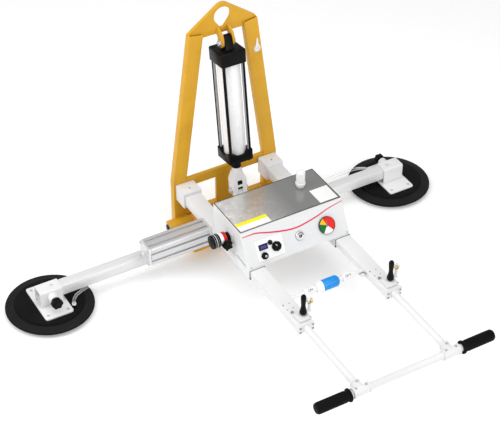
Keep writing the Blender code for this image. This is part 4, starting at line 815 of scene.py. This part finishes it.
# Key switch with a grey arc that paints a reflection on its face, and vacuum gauge with four sectors
dress("key_switch", MACHINED, 0.0003)
close("key_seam", ring(0.0166, 0.0152, 0.0, 0.0007, 40), "frame", GREY_PRINT_AND_REFLECTION,
      place=on_front(*KEY))
dress("key_rotor", MACHINED, 0.0003)
close("key_slot", slab(rounded_rectangle(-0.0016, 0.0016, -0.0048, 0.0048, 0.0012, 4), 0.0100, 0.0106,
          0.0002, 1), "key", BLACK, place=on_front(*KEY))
angles = [math.radians(15 * i) for i in range(11)]
outer_arc = [(0.0132 * math.cos(a), 0.0132 * math.sin(a)) for a in angles]
inner_arc = [(0.0092 * math.cos(a), 0.0092 * math.sin(a)) for a in reversed(angles)]
# The grey arc is a painted reflection on the key switch's face
close("key_arc_painted_reflection", slab(outer_arc + inner_arc, 0.0052, 0.0066), "frame", GREY_PRINT_AND_REFLECTION,
      place=on_front(*KEY))
close("key_well", ring(0.0062, 0.0024, 0.0058, 0.0064, 28), "key", DARK_SEAM_AND_REFLECTION,
      place=on_front(*KEY))
close("gauge_rim", turned([(0.0, 0.0003), (0.0304, 0.0003), (0.0304, 0.0070), (0.0302, 0.0074),
              (0.0297, 0.0074), (0.0295, 0.0070), (0.0295, 0.0055), (0.0, 0.0055)], 56), "frame",
      DARK_SEAM_AND_REFLECTION, replaces=("gauge",), place=on_front(*GAUGE))
DIAL_R = 0.0296
for name, start, end, mat in (("dial_red", -50, 114, CARMINE), ("dial_amber", 114, 158, AMBER_DIAL),
                              ("dial_green", 158, 234, GREEN), ("dial_white", 234, 310, PANEL_WHITE)):
    steps = max(3, int((end - start) / 8))
    angles = [math.radians(start + (end - start) * i / steps) for i in range(steps + 1)]
    rim = [(DIAL_R * math.cos(a), DIAL_R * math.sin(a)) for a in angles]
    close(name, slab([(0, 0)] + rim, 0.0054, 0.0058), "frame", mat, place=on_front(*GAUGE))
ticks = [moved(slab(rounded_rectangle(-0.00025, 0.00025, 0.0268, 0.0280 if i % 5 else 0.0286, 0.0001, 2),
                 0.0058, 0.0060), Matrix.Rotation(math.radians(-135 + 9 * i), 4, "Z")) for i in range(31)]
close("dial_ticks", joined(*ticks), "frame", DARK_SEAM_AND_REFLECTION, place=on_front(*GAUGE))
needle = joined(slab([(-0.0010, -0.0060), (0.0010, -0.0060), (0.0009, 0.0060), (0.0002, 0.0230),
                        (-0.0002, 0.0230), (-0.0009, 0.0060)], 0.0066, 0.0074),
                turned([(0, 0.0060), (0.0024, 0.0060), (0.0024, 0.0078), (0.0014, 0.0084), (0, 0.0085)], 18))
close("needle", needle, "needle", GREY_PRINT_AND_REFLECTION, replaces=("gauge_needle",),
      place=on_front(*GAUGE))

# Silencer on the lid
dress("silencer", WHITE, 0.0008, 3)
for i, z in enumerate((0.012, 0.052, 0.058)):
    close("silencer_rib_%d" % i, ring(0.0168 if i == 0 else 0.0157, 0.0140, -0.0010, 0.0010, 32, 0.0006),
          "frame", WHITE, place=here(0.108, -0.1565, 0.2843 + z))

# Vacuum regulator: housing, red ring, a pale ring that paints the housing's highlight, lined knob with its
# cap, star knob, bracket
dress("regulator_bracket", SILVER, 0.0006)
dress("star_knob", BLACK, 0.0012)
REGULATOR = here(-0.1956, -0.205, 0.222) @ Matrix.Rotation(-math.pi / 2, 4, "Y")
close("regulator_housing", turned([(0, 0.0028), (0.0165, 0.0028), (0.0175, 0.0038), (0.0175, 0.0150),
              (0.0195, 0.0165), (0.0195, 0.0420), (0, 0.0420)], 40), "frame", ANODISED,
      place=REGULATOR, replaces=("regulator_body",))
close("regulator_red_ring", turned([(0.0190, 0.0170), (0.0224, 0.0170), (0.0224, 0.0280), (0.0190, 0.0280)],
          40), "frame", RED, place=REGULATOR)
# This pale ring is the housing's painted highlight
close("regulator_painted_highlight", turned([(0.0190, 0.0284), (0.0216, 0.0284), (0.0216, 0.0400), (0.0190, 0.0400)],
          40), "frame", WHITE, place=REGULATOR)
close("regulator_dial_knob", turned([(0, 0.0424), (0.0225, 0.0424), (0.0240, 0.0436), (0.0240, 0.0672),
              (0.0225, 0.0690), (0, 0.0690)], 44), "regulator_dial", BLACK, place=REGULATOR,
      replaces=("regulator_knob",))
for i in range(3):
    close("knob_line_%d" % i, ring(0.0246, 0.0225, -0.0008, 0.0008, 40, 0.0003), "regulator_dial",
          WHITE if i == 1 else GREY_PRINT_AND_REFLECTION, place=REGULATOR @ up(0.0480 + 0.0068 * i))
close("regulator_cap", turned([(0, 0.0688), (0.0150, 0.0688), (0.0150, 0.0698), (0.0120, 0.0706),
              (0, 0.0706)], 32), "regulator_dial", BLACK, place=REGULATOR)
pan_screw("bracket_screw", at(-0.1983, -0.2265, 0.240), (-1, 0, 0), 0.0030)
pan_screw("bracket_screw_low", at(-0.1983, -0.1835, 0.203), (-1, 0, 0), 0.0030)

# Slide valve: tube with ON and OFF marks, blue grip with its white collar, ball joint
dress("slide_tube", WHITE, 0.0006)
dress("slide_sleeve", BLUE, 0.0012, 3)
SLIDE = here(0, SLIDE_Y, SLIDE_Z) @ ALONG_X
close("slide_collar", turned([(0.0128, -0.0450), (0.0146, -0.0450), (0.0154, -0.0440), (0.0154, -0.0275),
              (0.0199, -0.0255), (0.0199, -0.0212), (0.0128, -0.0212)], 40), "slide_valve",
      WHITE, place=SLIDE)
for i in range(4):
    close("grip_line_%d" % i, ring(0.0198, 0.0180, -0.0006, 0.0006, 36, 0.0003), "slide_valve",
          BLUE, place=SLIDE @ up(0.002 + 0.009 * i))
BALL_R = 0.0098
angles = [-math.pi / 2 + math.pi * i / 14 for i in range(15)]
close("ball", turned([(BALL_R * math.cos(a), BALL_R * math.sin(a)) for a in angles], 24), "frame",
      MACHINED, place=here(0.126, -0.525, 0.158))
close("ball_socket", ring(0.0104, 0.0060, -0.0022, 0.0022, 28, 0.0006), "frame", GREY_PRINT_AND_REFLECTION,
      place=facing(at(0.126, -0.525, 0.158), (-0.35, -0.85, -0.30)))

LETTERS = {"O": [(-0.8, -1, -0.8, 1), (0.8, -1, 0.8, 1), (-0.8, 1, 0.8, 1), (-0.8, -1, 0.8, -1)],
           "N": [(-0.8, -1, -0.8, 1), (0.8, -1, 0.8, 1), (-0.8, 1, 0.8, -1)],
           "F": [(-0.7, -1, -0.7, 1), (-0.7, 1, 0.8, 1), (-0.7, 0.1, 0.5, 0.1)]}


def sleeve_marks(name, text, x, height, radius):
    """Plain letters wrapped on the front of a sleeve round the slide tube."""
    k = height / 2
    step = 2.3 * k
    strokes = []
    for i, letter in enumerate(text):
        shift = (i - (len(text) - 1) / 2) * step
        for x0, y0, x1, y1 in LETTERS[letter]:
            a = Vector((x0 * k + shift, y0 * k, 0))
            b = Vector((x1 * k + shift, y1 * k, 0))
            turn = math.atan2((b - a).y, (b - a).x)
            half = (b - a).length / 2 + 0.0004
            w = 0.00065
            lower = [(-half + 2 * half * j / 5, -w) for j in range(6)]
            upper = [(half - 2 * half * j / 5, w) for j in range(6)]
            bar = slab(lower + upper, 0.0, 0.00025)
            strokes.append(moved(bar, Matrix.Translation((a + b) / 2) @ Matrix.Rotation(turn, 4, "Z")))
    whole = joined(*strokes)
    for v in whole.verts:
        turn = math.radians(38) - v.co.y / radius
        reach = radius + v.co.z
        v.co = at(x + v.co.x, SLIDE_Y - reach * math.sin(turn), SLIDE_Z + reach * math.cos(turn))
    close(name, whole, "frame", GREY_PRINT_AND_REFLECTION)


sleeve_marks("mark_on", "ON", -0.068, 0.0080, 0.0123)
sleeve_marks("mark_off", "OFF", 0.077, 0.0072, 0.0123)

# Hand valves: base plate, silver stem, brass elbow with a dark bore, lever, port stub
for side, sign in SIDES:
    cx = sign * BEAM_X
    dress("valve_block_" + side, SILVER, 0.0006)
    dress("lever_" + side, BLACK, 0.0006, 3)
    stem = here(cx + 0.040, -0.600, 0)
    outlet = facing(at(cx + 0.040, -0.600, 0.2150), (0.55 * -sign, -0.80, 0.25))
    close("stem_sleeve_" + side, turned([(0.0044, 0.174), (0.0062, 0.174), (0.0062, 0.1795),
                  (0.0052, 0.1805), (0.0052, 0.2060), (0.0044, 0.2060)], 20), "frame", SILVER,
          place=stem)
    close("elbow_nut_" + side, moved(hex_nut(0.0064, 0.0052), up(0.2030)), "frame", BRASS,
          place=stem)
    close("elbow_" + side, turned([(0, -0.0085), (0.0058, -0.0085), (0.0070, -0.0072), (0.0070, 0.0070),
                  (0.0078, 0.0075), (0.0078, 0.0100), (0.0055, 0.0100), (0.0050, 0.0035), (0, 0.0035)], 24),
          "frame", BRASS, place=outlet)
    close("elbow_bore_" + side, turned([(0, 0.0034), (0.0049, 0.0034), (0.0049, 0.0040), (0, 0.0040)], 20),
          "frame", BLACK, place=outlet)
    close("lever_collar_" + side, ring(0.0150, 0.0128, 0.0, 0.0022, 36, 0.0006), "frame",
          SILVER, place=here(cx + 0.011, -0.611, 0.1755))
    close("port_stub_" + side, turned([(0, -0.001), (0.0046, -0.001), (0.0046, 0.005), (0.0034, 0.006),
                  (0, 0.006)], 18), "frame", GREY_PRINT_AND_REFLECTION, place=here(cx - 0.0105, -0.580,
              0.1675))
    for i, (dx, dy) in enumerate(((-0.0120, 0.0205), (0.0260, -0.0205))):
        socket_screw("valve_screw_%s_%d" % (side, i), at(cx + dx, -0.611 + dy, 0.1755), (0, 0, 1), 0.0022,
                     0.0014)

# Screws along the fore beams' tops
BEAM_MARKS = {"right": ((0.1480, -0.5350, 0.0028), (0.1700, -0.5360, 0.0022), (0.1500, -0.5600, 0.0024),
                        (0.1720, -0.5600, 0.0022)),
              "left": ((-0.1830, -0.5350, 0.0028), (-0.1610, -0.5360, 0.0022), (-0.1820, -0.5600, 0.0024),
                       (-0.1600, -0.5600, 0.0022))}
for side, marks in BEAM_MARKS.items():
    for i, (x, y, r) in enumerate(marks):
        pan_screw("beam_screw_%s_%d" % (side, i), at(x, y, 0.1675), (0, 0, 1), r,
                  mat=GREY_PRINT_AND_REFLECTION)


# Suction pads, arms and hoses
for side, sign in SIDES:
    body = side + "_arm"
    place = PAD[side]
    dress("arm_" + side, SATIN, 0.0014, 3)
    dress("bracket_" + side, SILVER, 0.0012, 3)
    dress("clamp_knob_" + side, BLACK, 0.0010, 3)
    close("disc_top_" + side, turned([(0.0, 0.0135), (0.1490, 0.0135), (0.1500, 0.0141), (0.1500, 0.0158),
                  (0.1490, 0.0167), (0.1200, 0.0238), (0.1180, 0.0240), (0.1150, 0.0242), (0.1142, 0.0250),
                  (0.1134, 0.0284), (0.1120, 0.0290), (0.0, 0.0290)], 96), body, RUBBER,
          place=place, replaces=("disc_" + side,))
    # The outer slope's paler rubber paints the light falling on it
    close("disc_skirt_painted_light_" + side, turned([(0.1195, 0.0236), (0.1470, 0.0169), (0.1470, 0.01745),
                  (0.1195, 0.02415)], 96), body, PALE_RUBBER_AND_PAINTED_LIGHT, place=place)
    close("seal_lip_" + side, turned([(0.1360, 0.0006), (0.1352, 0.0), (0.1186, 0.0), (0.1178, 0.0006),
                  (0.1062, 0.0080), (0.1060, 0.0086), (0.1060, 0.0132), (0.1300, 0.0132), (0.1350, 0.0080)],
              96), body, RUBBER, place=place, replaces=("seal_" + side,))
    barb = place @ Matrix.Translation((0.061, -0.064, 0))
    close("barb_base_" + side, turned([(0, 0.0288), (0.0098, 0.0288), (0.0098, 0.0330), (0.0088, 0.0342),
                  (0.0064, 0.0346), (0.0064, 0.0379), (0, 0.0379)], 24), body, BLACK, place=barb)
    close("elbow_union_" + side, turned([(0.0052, 0.0370), (0.0066, 0.0370), (0.0071, 0.0380),
                  (0.0071, 0.0440), (0.0062, 0.0455), (0.0052, 0.0455)], 24), body, WHITE,
          place=barb)
    for i, (x, y) in enumerate(((-0.036, -0.072), (0.036, -0.072), (-0.036, 0.072), (0.036, 0.072))):
        pan_screw("plate_screw_%s_%d" % (side, i), place @ Vector((x, y, 0.0353)), (0, 0, 1), 0.0050, body)
    for edge in (-1, 1):
        start = place @ Vector((-0.038, edge * 0.0268, 0.0358))
        end = place @ Vector((0.038, edge * 0.0268, 0.0358))
        weld("saddle_weld_%s_%d" % (side, edge), start, end, 0.0016, body, SILVER_WELD)
    close("boss_washer_" + side, ring(0.0145, 0.0052, 0.0, 0.0016, 28, 0.0004), body, STEEL,
          place=place @ facing(Vector((0, -0.0523, 0.0725)), (0, -1, 0)))
    close("clamp_cap_" + side, slab(disc_outline(0.0135, 6), 0, 0.0016, 0.0005, 1), side + "_clamp",
          PALE_RUBBER_AND_PAINTED_LIGHT, place=place @ facing(Vector((0, -0.0783, 0.0725)), (0, -1, 0)))
    dress("hose_" + side, HOSE, 0.0)
